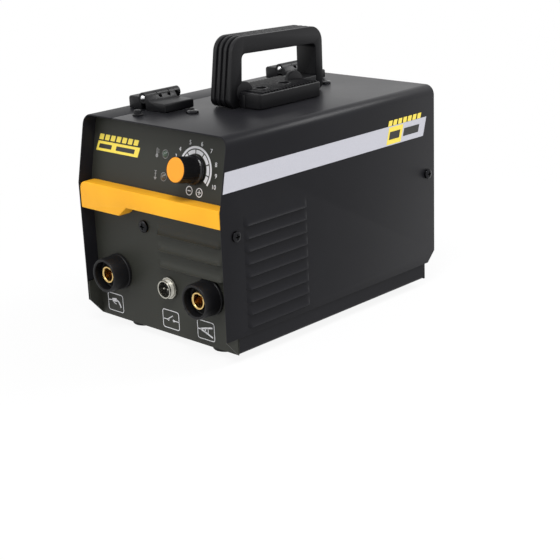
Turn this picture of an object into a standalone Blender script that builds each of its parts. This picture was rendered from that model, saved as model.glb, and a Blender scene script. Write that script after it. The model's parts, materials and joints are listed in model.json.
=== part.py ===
"""MIG welding machine: a small single-phase wire welder with its wire spool inside.

Metres, +Z up. The front panel faces -Y and the door of the wire compartment is on -X.
The origin is on the ground under the middle of the machine.
"""

import math

import bmesh
import bpy
from mathutils import Matrix, Vector

MM = 0.001

# ---------------------------------------------------------------- driving dimensions
GAP = 0.3 * MM  # clearance between pieces that touch
SHEET = 1.2 * MM
TOOL_MARGIN = 5 * MM  # how far a cutting shape runs past what it cuts
MERGE = 1 * MM  # how far a shape that is added runs into its neighbour

CASE_WIDTH = 178 * MM
CASE_LENGTH = 276 * MM
CASE_TOP = 190 * MM
CORNER_RADIUS = 9 * MM
WALL_BOTTOM = 22.5 * MM
TRAY_BOTTOM = 7.5 * MM
TRAY_FLANGE_TOP = 40 * MM
TRAY_BEND_RADIUS = 2.5 * MM
NOSE_HEIGHT = 131 * MM  # where the front begins to lean back
FRONT_LEAN = math.radians(11.5)
PANEL_RECESS = 13.5 * MM
REAR_CHAMFER_LENGTH = 10 * MM
REAR_CHAMFER_HEIGHT = 11 * MM
COMPARTMENT_WIDTH = 54.3 * MM  # from the left wall to the partition
DOOR_TOP_WIDTH = 38 * MM  # strip of the top that belongs to the door

SIDE_LOUVRES = 9
SIDE_LOUVRE_LENGTH = 72 * MM
SIDE_LOUVRE_FROM_FRONT = 26 * MM
SIDE_LOUVRE_TOP = 124.8 * MM
SIDE_LOUVRE_PITCH = 10.8 * MM
SIDE_LOUVRE_HEIGHT = 8.6 * MM
PANEL_LOUVRES = 3
PANEL_LOUVRE_LENGTH = 79 * MM
PANEL_LOUVRE_FROM_SIDE = 13.5 * MM
PANEL_LOUVRE_TOP = 105.5 * MM
PANEL_LOUVRE_PITCH = 14.2 * MM
PANEL_LOUVRE_HEIGHT = 8.4 * MM
LOUVRE_DEPTH = 2.6 * MM
LOUVRE_SLOT_DROP = 2 * MM  # from the hood's top down to its slot

TRIM_TOP = NOSE_HEIGHT
TRIM_HEIGHT = 13 * MM
TRIM_DROP = 8.5 * MM
TRIM_DROP_LENGTH = 50.5 * MM
TRIM_STEP_LENGTH = 10 * MM
TRIM_WALL = 2 * MM

FOOT_RADIUS = 13 * MM
FOOT_TAPER = 1.5 * MM
FOOT_STEM_RADIUS = 4 * MM
FOOT_FROM_SIDE = 37 * MM
FOOT_FROM_END = 34 * MM

HANDLE_THICKNESS = 24 * MM
HANDLE_FRONT = -46 * MM
HANDLE_REAR = 73 * MM
HANDLE_HEIGHT = 60 * MM
HANDLE_BAR = 14.5 * MM
HANDLE_FRONT_LEG = 14.5 * MM
HANDLE_REAR_LEG = 9 * MM
HANDLE_LEAN = 6 * MM  # how far the front edge leans back over its height
HANDLE_CORNER = 14 * MM
HANDLE_INNER_CORNER = 4.5 * MM
HANDLE_FOOT_CORNER = 7 * MM
HANDLE_BASE_HEIGHT = 14 * MM
HANDLE_BASE_RIGHT = 37 * MM
HANDLE_BASE_FRONT = -35.5 * MM
HANDLE_BASE_REAR = 42 * MM
HANDLE_BASE_CHAMFER = 3 * MM
HANDLE_SCREW_X = 18 * MM
HANDLE_SCREWS_Y = (-15 * MM, 14 * MM)
HANDLE_SCREW_RECESS = 5 * MM
HANDLE_RECESS_RADIUS = 5.3 * MM

HINGE_LENGTH = 38 * MM
HINGE_FRONTS = (-88 * MM, 84 * MM)
HINGE_HEIGHT = 10.5 * MM  # pin axis above the case top
HINGE_PIN_RADIUS = 2.6 * MM
HINGE_KNUCKLE_RADIUS = 4.6 * MM
HINGE_KNUCKLE_LENGTH = 12 * MM
HINGE_SEAM_OFFSET = 2.5 * MM  # from the door seam to the pin axis
HINGE_FIXED_WIDTH = 27 * MM
HINGE_FIXED_HEIGHT = 7.5 * MM
HINGE_MOVING_WIDTH = 14 * MM
HINGE_MOVING_HEIGHT = 11 * MM

SCREW_RADIUS = 1.6 * MM
SCREW_LENGTH = 8 * MM
SCREW_HEAD_RADIUS = 4.6 * MM
SCREW_HEAD_HEIGHT = 2.3 * MM
SCREW_EDGE = 0.9 * MM  # rounded part of the head
SIDE_SCREW_FRONT_INSET = 15.5 * MM
SIDE_SCREW_REAR_INSET = 10.5 * MM
SIDE_SCREW_HEIGHT = 109 * MM
FRONT_SCREW_FROM_PARTITION = 13 * MM
FRONT_SCREW_HEIGHT = 99.5 * MM

SOCKET_FROM_SIDE = 31.5 * MM
SOCKET_HEIGHT = 52.5 * MM
SOCKET_RADIUS = 16 * MM
SOCKET_RIM_RADIUS = 15 * MM
SOCKET_DEPTH = 19 * MM  # how far the shroud stands out of the panel
SOCKET_CUP_RADIUS = 12.4 * MM
SOCKET_CUP_DEPTH = 9 * MM
SOCKET_TAIL_RADIUS = 12 * MM
SOCKET_TAIL = 9 * MM
INSERT_RADIUS = 7.6 * MM
INSERT_BORE = 4.8 * MM
INSERT_BORE_DEPTH = 26 * MM
INSERT_SETBACK = 4.5 * MM
INSERT_FLANGE = 3 * MM
INSERT_STUD_RADIUS = 5 * MM
INSERT_STUD = 8 * MM

TRIGGER_X = 7.5 * MM
TRIGGER_HEIGHT = 50 * MM
TRIGGER_RADIUS = 8 * MM
TRIGGER_BORE = 6.8 * MM
TRIGGER_NUT_RADIUS = 9.6 * MM
TRIGGER_NUT = 2 * MM
TRIGGER_DEPTH = 7.2 * MM
TRIGGER_TAIL = 9 * MM
TRIGGER_INSERT_SETBACK = 6 * MM
TRIGGER_PIN_RADIUS = 1 * MM
TRIGGER_PIN_SPACING = 5 * MM
TRIGGER_PIN = 1.2 * MM

KNOB_FROM_SIDE = 46.5 * MM
KNOB_HEIGHT = 156.5 * MM
KNOB_RADIUS = 11.2 * MM
KNOB_SKIRT_RADIUS = 12.4 * MM
KNOB_SKIRT = 4 * MM
KNOB_LENGTH = 22 * MM
KNOB_CAP_RADIUS = 9.8 * MM
KNOB_CAP = 1.6 * MM
KNOB_SHAFT_RADIUS = 3 * MM
POT_RADIUS = 8.5 * MM
POT_LENGTH = 11 * MM
POT_BUSH_RADIUS = 4.5 * MM

LAMP_X = 5.5 * MM
LAMP_HEIGHTS = {"upper": 164.5 * MM, "lower": 146 * MM}
LAMP_RADIUS = 2.3 * MM
LAMP_FLANGE_RADIUS = 3 * MM
LAMP_DOME = 1.6 * MM
LAMP_BODY = 7 * MM

WIRE = 0.9 * MM
FEED_FROM_PANEL = 62.5 * MM  # drive roll axis behind the front panel
ROLL_RADIUS = 11 * MM
ROLL_WIDTH = 9 * MM
ROLL_GROOVE = 0.8 * MM
ROLL_COLLAR = 2 * MM  # length of the collar on the roll, and how far it stands past the shaft
SHAFT_RADIUS = 4 * MM
SHAFT_WAY = 6 * MM  # radius of the shaft's hole in the partition
SHAFT_END_GAP = 6 * MM  # from the shaft's end to the far face of the gearbox
PRESSURE_RADIUS = 8 * MM
GEARBOX_RADIUS = 20 * MM
GEARBOX_LENGTH = 22 * MM
GEARBOX_END_WALL = 4 * MM
MOTOR_RADIUS = 16 * MM
MOTOR_LENGTH = 40 * MM
FEED_LENGTH = 52 * MM
FEED_BOTTOM = 27 * MM
FEED_ARM_HEIGHT = 8 * MM  # of each guide arm above and below the wire
FEED_ARM_LENGTH = 8 * MM
FEED_ARM_REACH = 7 * MM  # of each guide arm past the wire line
PIVOT_HEIGHT = 14.5 * MM  # arm pivot above the wire line
PIVOT_RADIUS = 2.5 * MM
PIVOT_BOSS = 5.5 * MM
PIVOT_END = 1 * MM  # how far the pivot stands past the arm
ARM_THICKNESS = 5 * MM
ARM_HEIGHT = 7 * MM
ARM_AXLE_RADIUS = 2.5 * MM
TENSION_RADIUS = 6.5 * MM
TENSION_HEIGHT = 18 * MM
TENSION_STEM_RADIUS = 2.2 * MM
TENSION_CHAMFER = 2 * MM
GUIDE_RADIUS = 2.4 * MM
GUIDE_BORE = 0.9 * MM
GUIDE_FLANGE = 4 * MM
GUIDE_FLANGE_THICKNESS = 2 * MM
GUIDE_NOSE = 6 * MM

SPOOL_RADIUS = 50 * MM
SPOOL_WIDTH = 45 * MM
SPOOL_FLANGE = 2.6 * MM
SPOOL_CORE_RADIUS = 25 * MM
SPOOL_BORE = 8.1 * MM
SPOOL_HEIGHT = 112 * MM
SPOOL_FROM_REAR = 61 * MM
WINDING_RADIUS = 44 * MM
SPINDLE_FLANGE_RADIUS = 14 * MM
SPINDLE_FLANGE = 2.4 * MM
NUT_RADIUS = 13 * MM
NUT_LENGTH = 4 * MM

FAN_SIZE = 80 * MM
FAN_DEPTH = 25 * MM
FAN_CORNER = 4 * MM
FAN_BORE = 37 * MM
FAN_HUB_RADIUS = 14 * MM
FAN_HUB = 16 * MM
FAN_BLADES = 7
FAN_BLADE_RADIUS = 35.5 * MM
FAN_BLADE_THICKNESS = 1.4 * MM
FAN_BLADE_WIDTH = 14 * MM
FAN_PITCH = math.radians(38)
FAN_SHAFT_RADIUS = 2 * MM
FAN_HUB_CAP = 2 * MM  # between the pin's end and the rotor's front face
FAN_BLADE_ROOT = 2 * MM  # how far a blade reaches into the hub
FAN_SPIDER = 3 * MM
FAN_ARM = 5 * MM
FAN_HEIGHT = 108 * MM
FAN_FROM_SIDE = 6 * MM
GRILLE_SLOTS = 8
GRILLE_SLOT = 4 * MM

SWITCH_X = -10 * MM
SWITCH_HEIGHT = 166 * MM
SWITCH_WIDTH = 30 * MM
SWITCH_TALL = 24 * MM
SWITCH_BEZEL = 2 * MM
SWITCH_BODY_INSET = 2 * MM
SWITCH_BODY = 20 * MM
ROCKER_WIDTH = 22 * MM
ROCKER_TALL = 15 * MM
ROCKER_THROW = math.radians(9)
ROCKER_POCKET = 10 * MM
ROCKER_AXIS_DEPTH = 3 * MM  # below the bezel's face
ROCKER_HEEL = (-3.5 * MM, 3 * MM)  # lower corner of the rocker, as (out of the panel, from the middle)
ROCKER_SHOULDER = 2.2 * MM
ROCKER_TIP = (4.6 * MM, 7.1 * MM)
ROCKER_DIP = 3.4 * MM  # the pressed face at its middle

GLAND_X = -10 * MM
GLAND_HEIGHT = 60 * MM
GLAND_RADIUS = 11 * MM
GLAND_HEX = 5 * MM
GLAND_DOME_RADIUS = 8.5 * MM
GLAND_LENGTH = 19 * MM
GLAND_NOSE = 3 * MM  # tapered end of the dome
GLAND_LIP = 1 * MM
GLAND_BORE = 4.6 * MM
GLAND_TAIL = 9 * MM
GLAND_TAIL_RADIUS = 8 * MM

LATCH_FROM_FRONT = 78 * MM
LATCH_HEIGHT = 52 * MM
LATCH_RADIUS = 9 * MM
LATCH_EDGE = 1 * MM
LATCH_SHAFT_RADIUS = 3 * MM
LATCH_CAM_LENGTH = 22 * MM
LATCH_CAM_WIDTH = 8 * MM
LATCH_CAM_THICKNESS = 1.6 * MM

BOARD_THICKNESS = 1.6 * MM
BOARD_HEIGHT = 18 * MM
BOARD_LENGTH = 180 * MM
BOARD_MARGIN = 6 * MM
BOARD_FROM_FRONT = 22 * MM
STANDOFF_RADIUS = 3 * MM
STANDOFF_INSET = 6 * MM
HEATSINK_WIDTH = 34 * MM
HEATSINK_TALL = 52 * MM
HEATSINK_LENGTH = 60 * MM
HEATSINK_BASE = 5 * MM
HEATSINK_FINS = 6
HEATSINK_FIN = 2 * MM
TRANSFORMER = (42 * MM, 40 * MM, 38 * MM)
REACTOR_RADIUS = 20 * MM
REACTOR_BORE = 9 * MM
REACTOR_HEIGHT = 20 * MM
CAPACITOR_RADIUS = 12.5 * MM
CAPACITOR_HEIGHT = 42 * MM

# ---------------------------------------------------------------- derived places
HALF_WIDTH = CASE_WIDTH / 2
FRONT_Y = -CASE_LENGTH / 2
REAR_Y = CASE_LENGTH / 2
PANEL_Y = FRONT_Y + PANEL_RECESS
REAR_PANEL_Y = REAR_Y - PANEL_RECESS
INNER_HALF = HALF_WIDTH - SHEET - GAP
INNER_TOP = CASE_TOP - SHEET - GAP
TRAY_FLOOR = TRAY_BOTTOM + SHEET
ON_TOP = CASE_TOP + GAP

PARTITION_X = -HALF_WIDTH + SHEET + COMPARTMENT_WIDTH  # its left face
TORCH_SOCKET_X = -HALF_WIDTH + SOCKET_FROM_SIDE
CLAMP_SOCKET_X = HALF_WIDTH - SOCKET_FROM_SIDE
SEAM_X = -HALF_WIDTH + DOOR_TOP_WIDTH
PIN_X = SEAM_X - HINGE_SEAM_OFFSET
PIN_Z = CASE_TOP + HINGE_HEIGHT
KNOB_X = HALF_WIDTH - KNOB_FROM_SIDE

WIRE_X = TORCH_SOCKET_X
WIRE_Z = SOCKET_HEIGHT
ROLL_Y = PANEL_Y + FEED_FROM_PANEL
ROLL_Z = WIRE_Z - WIRE / 2 - ROLL_RADIUS
PRESSURE_Z = WIRE_Z + WIRE / 2 + PRESSURE_RADIUS
FEED_FACE_X = WIRE_X + ROLL_WIDTH / 2 + ARM_THICKNESS + 2 * GAP
PIVOT_Y = ROLL_Y + FEED_LENGTH / 2 - FEED_ARM_LENGTH / 2
PIVOT_Z = WIRE_Z + PIVOT_HEIGHT
TENSION_Y = ROLL_Y - FEED_LENGTH / 2 + FEED_ARM_LENGTH / 2
ARM_NEAR_X = FEED_FACE_X - GAP
ARM_FAR_X = ARM_NEAR_X - ARM_THICKNESS
SPOOL_Y = REAR_PANEL_Y - SPOOL_FROM_REAR
SPOOL_NEAR_X = PARTITION_X - GAP - SPINDLE_FLANGE - GAP
SPOOL_FAR_X = SPOOL_NEAR_X - SPOOL_WIDTH
FAN_X = INNER_HALF - FAN_FROM_SIDE - FAN_SIZE / 2
FAN_FRONT_Y = REAR_PANEL_Y - SHEET - GAP - FAN_DEPTH
LATCH_Y = FRONT_Y + LATCH_FROM_FRONT
BOARD_LEFT = PARTITION_X + SHEET + BOARD_MARGIN
BOARD_RIGHT = INNER_HALF - SHEET - BOARD_MARGIN
BOARD_FRONT = PANEL_Y + BOARD_FROM_FRONT
BOARD_TOP = BOARD_HEIGHT + BOARD_THICKNESS + GAP
HINGE_ENDS = {"front": HINGE_FRONTS[0], "rear": HINGE_FRONTS[1]}


# ---------------------------------------------------------------- finishes
def finish(name, colour, roughness, metallic=0.0):
    material = bpy.data.materials.new(name)
    material.use_nodes = True
    shader = material.node_tree.nodes["Principled BSDF"]
    shader.inputs["Base Color"].default_value = (*colour, 1.0)
    shader.inputs["Roughness"].default_value = roughness
    shader.inputs["Metallic"].default_value = metallic
    return material


def make_finishes():
    return {
        "case": finish("powder_coat_black", (0.035, 0.035, 0.040), 0.45),
        "panel": finish("panel_dark_grey", (0.055, 0.057, 0.052), 0.50),
        "trim": finish("trim_orange", (1.0, 0.46, 0.03), 0.40),
        "handle": finish("handle_black_plastic", (0.025, 0.025, 0.028), 0.50),
        "rubber": finish("foot_rubber", (0.015, 0.015, 0.015), 0.80),
        "steel": finish("bright_steel", (0.75, 0.75, 0.76), 0.25, 1.0),
        "black_steel": finish("blackened_steel", (0.03, 0.03, 0.03), 0.35, 0.6),
        "zinc": finish("zinc_plated_sheet", (0.60, 0.61, 0.62), 0.40, 1.0),
        "brass": finish("socket_brass", (0.80, 0.55, 0.20), 0.30, 1.0),
        "nickel": finish("nickel_plate", (0.72, 0.72, 0.70), 0.22, 1.0),
        "moulding": finish("black_moulding", (0.02, 0.02, 0.022), 0.40),
        "insulator": finish("grey_insulator", (0.10, 0.10, 0.10), 0.60),
        "cap": finish("knob_cap_orange", (1.0, 0.36, 0.03), 0.45),
        "green_lamp": finish("lamp_green", (0.10, 0.50, 0.12), 0.20),
        "amber_lamp": finish("lamp_amber", (0.80, 0.45, 0.05), 0.20),
        "motor": finish("motor_can", (0.45, 0.46, 0.47), 0.35, 1.0),
        "nylon": finish("black_nylon", (0.04, 0.04, 0.045), 0.55),
        "wire": finish("steel_wire", (0.55, 0.54, 0.52), 0.30, 1.0),
        "board": finish("circuit_board", (0.02, 0.16, 0.07), 0.45),
        "aluminium": finish("heatsink_aluminium", (0.70, 0.70, 0.71), 0.35, 1.0),
        "ferrite": finish("ferrite_and_tape", (0.12, 0.11, 0.10), 0.60),
        "copper": finish("enamelled_copper", (0.55, 0.24, 0.10), 0.35, 1.0),
        "sleeve": finish("capacitor_sleeve", (0.03, 0.05, 0.14), 0.35),
    }


# ---------------------------------------------------------------- outlines
def round_corners(path, radii, steps, closed=True):
    """The path with an arc of `steps` sides at each corner; a radius of 0 keeps the corner."""
    if isinstance(radii, (int, float)):
        radii = [radii] * len(path)
    points = []
    for i, corner in enumerate(path):
        is_end = not closed and i in (0, len(path) - 1)
        if is_end or radii[i] == 0:
            points.append(tuple(corner))
            continue
        here = Vector(corner)
        to_last = (Vector(path[i - 1]) - here).normalized()
        to_next = (Vector(path[(i + 1) % len(path)]) - here).normalized()
        half = to_last.angle(to_next) / 2
        centre = here + (to_last + to_next).normalized() * radii[i] / math.sin(half)
        first = here + to_last * radii[i] / math.tan(half) - centre
        last = here + to_next * radii[i] / math.tan(half) - centre
        turn = math.pi - 2 * half
        for step in range(steps + 1):
            share = step / steps
            arm = first * math.sin((1 - share) * turn) + last * math.sin(share * turn)
            points.append(tuple(centre + arm / math.sin(turn)))
    return points


def offset_path(path, distance):
    """The open path moved to its left by a distance, with mitred corners."""
    normals = []
    for start, end in zip(path, path[1:]):
        along = (Vector(end) - Vector(start)).normalized()
        normals.append(Vector((-along.y, along.x)))
    moved = []
    for i, point in enumerate(path):
        before = normals[max(i - 1, 0)]
        after = normals[min(i, len(normals) - 1)]
        mitre = (before + after).normalized()
        moved.append(tuple(Vector(point) + mitre * distance / mitre.dot(after)))
    return moved


def sheet_section(path, side, radius, steps):
    """Closed section of a bent sheet: outer face on the path, inner face left (1) or right (-1)."""
    outer = round_corners(path, radius, steps, closed=False)
    inner_path = offset_path(path, side * SHEET)
    inner = round_corners(inner_path, max(radius - SHEET, 0), steps, closed=False)
    return outer + inner[::-1]


def rectangle(low_a, low_b, high_a, high_b):
    return [(low_a, low_b), (high_a, low_b), (high_a, high_b), (low_a, high_b)]


def inner_outline(half, bottom, top, radius, steps=5):
    """Outline in X and Z of what fits inside the case, with its top corners rounded."""
    corners = rectangle(-half, bottom, half, top)
    return round_corners(corners, [0, 0, radius, radius], steps)


# ---------------------------------------------------------------- solids
def prism(outline, plane, low, high):
    """The outline, given in that plane, extruded along the third axis."""
    place = {
        "YZ": lambda a, b: (low, a, b),
        "XZ": lambda a, b: (a, low, b),
        "XY": lambda a, b: (a, b, low),
    }[plane]
    shift = {
        "YZ": (high - low, 0, 0),
        "XZ": (0, high - low, 0),
        "XY": (0, 0, high - low),
    }[plane]
    solid = bmesh.new()
    face = solid.faces.new([solid.verts.new(place(a, b)) for a, b in outline])
    grown = bmesh.ops.extrude_face_region(solid, geom=[face])
    moved = [v for v in grown["geom"] if isinstance(v, bmesh.types.BMVert)]
    bmesh.ops.translate(solid, verts=moved, vec=shift)
    bmesh.ops.recalc_face_normals(solid, faces=solid.faces)
    return solid


def block(low, high):
    return prism(rectangle(low[0], low[1], high[0], high[1]), "XY", low[2], high[2])


def turned(profile, segments=24, at=(0, 0, 0), towards=(0, 0, 1)):
    """The profile of (radius, height) points spun round its axis, a ring unless it ends on the axis."""
    solid = bmesh.new()
    points = [solid.verts.new((radius, 0, height)) for radius, height in profile]
    edges = [solid.edges.new(pair) for pair in zip(points, points[1:])]
    if profile[0][0] > 0:
        edges.append(solid.edges.new((points[-1], points[0])))
    bmesh.ops.spin(
        solid,
        geom=points + edges,
        cent=(0, 0, 0),
        axis=(0, 0, 1),
        angle=math.tau,
        steps=segments,
        use_merge=True,
    )
    bmesh.ops.remove_doubles(solid, verts=solid.verts, dist=1e-6)
    bmesh.ops.recalc_face_normals(solid, faces=solid.faces)
    turn = Vector(towards).to_track_quat("Z", "Y").to_matrix().to_4x4()
    solid.transform(Matrix.Translation(at) @ turn)
    return solid


def rod(radius, at, towards, length, segments=16):
    return turned(
        [(0, 0), (radius, 0), (radius, length), (0, length)], segments, at, towards
    )


def tube(inner, outer, at, towards, length, segments=24):
    profile = [(inner, 0), (outer, 0), (outer, length), (inner, length)]
    return turned(profile, segments, at, towards)


def joined(solids):
    """One mesh that holds several separate solids."""
    whole = bmesh.new()
    for solid in solids:
        mesh = bpy.data.meshes.new("part_of_tool")
        solid.to_mesh(mesh)
        whole.from_mesh(mesh)
        bpy.data.meshes.remove(mesh)
    return whole


# ---------------------------------------------------------------- objects
def link(name, solid, origin=(0, 0, 0)):
    """An object for a solid that was made in world coordinates, with its own origin."""
    solid.transform(Matrix.Translation(-Vector(origin)))
    mesh = bpy.data.meshes.new(name)
    solid.to_mesh(mesh)
    solid.free()
    thing = bpy.data.objects.new(name, mesh)
    thing.location = origin
    bpy.context.scene.collection.objects.link(thing)
    return thing


def part(name, solid, material, origin=(0, 0, 0), smooth=False):
    thing = link(name, solid, origin)
    thing.data.materials.append(material)
    if smooth:
        thing.data.shade_smooth()
        thing.data.set_sharp_from_angle(angle=math.radians(40))
    return thing


def shape(thing, operation, *solids):
    """Adds or removes solids, which may not touch each other, with one Boolean."""
    tool = link(f"{thing.name}_{operation.lower()}_{len(thing.modifiers)}", joined(solids))
    tool.hide_render = True
    tool.display_type = "WIRE"
    boolean = thing.modifiers.new(operation.title(), "BOOLEAN")
    boolean.operation = operation
    boolean.object = tool


def cut(thing, *solids):
    shape(thing, "DIFFERENCE", *solids)


def add(thing, *solids):
    shape(thing, "UNION", *solids)


# ---------------------------------------------------------------- the leaning control face
def face_y(height):
    """Y of the front panel's outer face at a height."""
    return PANEL_Y + max(0.0, height - NOSE_HEIGHT) * math.tan(FRONT_LEAN)


FACE_NORMAL = (0.0, -math.cos(FRONT_LEAN), math.sin(FRONT_LEAN))


def off_face(x, height, out):
    """The point at a distance in front of the leaning face."""
    foot = Vector((x, face_y(height), height))
    return foot + Vector(FACE_NORMAL) * out


# ---------------------------------------------------------------- louvres
def louvre_outlines(top, height):
    """Sections of a hood and of the opening under it, as (distance out of the wall, Z)."""
    bottom = top - height
    hood = [
        (-SHEET / 2, top),
        (0, top),
        (LOUVRE_DEPTH, bottom + height / 4),
        (LOUVRE_DEPTH, bottom),
        (-SHEET / 2, bottom),
    ]
    opening = [
        (-SHEET - TOOL_MARGIN, top - LOUVRE_SLOT_DROP),
        (0, top - LOUVRE_SLOT_DROP),
        (LOUVRE_DEPTH - SHEET, bottom + height / 4),
        (LOUVRE_DEPTH - SHEET, bottom - TOOL_MARGIN / 10),
        (GAP / 2, bottom - TOOL_MARGIN / 10),
        (GAP / 2, bottom),
        (-SHEET - TOOL_MARGIN, bottom),
    ]
    return hood, opening


def add_louvres(thing, tops, height, plane, place, low, high):
    """Hoods pressed out of a sheet, each open at its lower edge."""
    hoods = []
    openings = []
    for top in tops:
        hood, opening = louvre_outlines(top, height)
        hoods.append(prism([place(*p) for p in hood], plane, low, high))
        openings.append(prism([place(*p) for p in opening], plane, low + SHEET, high - SHEET))
    add(thing, *hoods)
    cut(thing, *openings)


# ---------------------------------------------------------------- case
def front_wedge():
    """What the leaning front edge of the case leaves off."""
    reach = CASE_TOP + TOOL_MARGIN - NOSE_HEIGHT
    outline = [
        (FRONT_Y - TOOL_MARGIN, NOSE_HEIGHT),
        (FRONT_Y, NOSE_HEIGHT),
        (FRONT_Y + reach * math.tan(FRONT_LEAN), NOSE_HEIGHT + reach),
        (FRONT_Y - TOOL_MARGIN, NOSE_HEIGHT + reach),
    ]
    return prism(outline, "YZ", -CASE_WIDTH, CASE_WIDTH)


def rear_chamfer():
    """What the chamfer at the rear lower corner of each wall leaves off."""
    outline = [
        (REAR_Y - 2 * REAR_CHAMFER_LENGTH, WALL_BOTTOM - REAR_CHAMFER_HEIGHT),
        (REAR_Y + REAR_CHAMFER_LENGTH, WALL_BOTTOM - REAR_CHAMFER_HEIGHT),
        (REAR_Y + REAR_CHAMFER_LENGTH, WALL_BOTTOM + 2 * REAR_CHAMFER_HEIGHT),
    ]
    return prism(outline, "YZ", -CASE_WIDTH, CASE_WIDTH)


def wall_sheet(side, seam):
    """One wall and its part of the top, from the seam over the rounded corner to the wall's lower edge."""
    path = [(seam, CASE_TOP), (side * HALF_WIDTH, CASE_TOP), (side * HALF_WIDTH, WALL_BOTTOM)]
    return prism(sheet_section(path, -side, CORNER_RADIUS, 6), "XZ", FRONT_Y, REAR_Y)


def make_top_side_cover(finishes):
    cover = part("top_side_cover", wall_sheet(1, SEAM_X + GAP), finishes["case"])
    cut(cover, front_wedge())
    cut(cover, rear_chamfer())
    low = FRONT_Y + SIDE_LOUVRE_FROM_FRONT
    add_louvres(
        cover,
        [SIDE_LOUVRE_TOP - i * SIDE_LOUVRE_PITCH for i in range(SIDE_LOUVRES)],
        SIDE_LOUVRE_HEIGHT,
        "XZ",
        lambda out, z: (HALF_WIDTH + out, z),
        low,
        low + SIDE_LOUVRE_LENGTH,
    )
    holes = [screw_hole(at, (1, 0, 0)) for at in side_screws().values()]
    holes += [screw_hole((HANDLE_SCREW_X, y, CASE_TOP), (0, 0, 1)) for y in HANDLE_SCREWS_Y]
    cut(cover, *holes)


def make_side_door(finishes):
    hinge_axis = (PIN_X, 0, PIN_Z)
    door = part("side_door", wall_sheet(-1, SEAM_X - GAP), finishes["case"], hinge_axis)
    cut(door, front_wedge())
    cut(door, rear_chamfer())
    at = (-HALF_WIDTH - TOOL_MARGIN, LATCH_Y, LATCH_HEIGHT)
    cut(door, rod(LATCH_SHAFT_RADIUS + GAP, at, (1, 0, 0), 2 * TOOL_MARGIN))


def make_base_tray(finishes):
    path = [
        (-INNER_HALF, TRAY_FLANGE_TOP),
        (-INNER_HALF, TRAY_BOTTOM),
        (INNER_HALF, TRAY_BOTTOM),
        (INNER_HALF, TRAY_FLANGE_TOP),
    ]
    low = PANEL_Y + SHEET + GAP
    high = REAR_PANEL_Y - SHEET - GAP
    section = sheet_section(path, 1, TRAY_BEND_RADIUS, 3)
    tray = part("base_tray", prism(section, "XZ", low, high), finishes["case"])
    base = TRAY_FLOOR - SHEET / 2
    posts = [
        rod(STANDOFF_RADIUS, (x, y, base), (0, 0, 1), BOARD_HEIGHT - GAP - base, 10)
        for x in (BOARD_LEFT + STANDOFF_INSET, BOARD_RIGHT - STANDOFF_INSET)
        for y in (BOARD_FRONT + STANDOFF_INSET, BOARD_FRONT + BOARD_LENGTH - STANDOFF_INSET)
    ]
    add(tray, *posts)
    holes = [
        rod(FOOT_STEM_RADIUS + GAP, (x, y, 0), (0, 0, 1), TRAY_FLOOR + TOOL_MARGIN, 12)
        for x, y in foot_places().values()
    ]
    cut(tray, *holes)


def foot_places():
    foot_x = HALF_WIDTH - FOOT_FROM_SIDE
    return {
        f"foot_{end}_{side}": (x, y)
        for end, y in (("front", FRONT_Y + FOOT_FROM_END), ("rear", REAR_Y - FOOT_FROM_END))
        for side, x in (("left", -foot_x), ("right", foot_x))
    }


def make_feet(finishes):
    """Rubber buffers, each with a stem pushed through the tray."""
    height = TRAY_BOTTOM - GAP
    profile = [
        (0, 0),
        (FOOT_RADIUS - FOOT_TAPER, 0),
        (FOOT_RADIUS, height),
        (FOOT_STEM_RADIUS, height),
        (FOOT_STEM_RADIUS, TRAY_FLOOR + SHEET),
        (0, TRAY_FLOOR + SHEET),
    ]
    for name, (x, y) in foot_places().items():
        part(name, turned(profile, 16, (x, y, 0)), finishes["rubber"], smooth=True)


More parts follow.
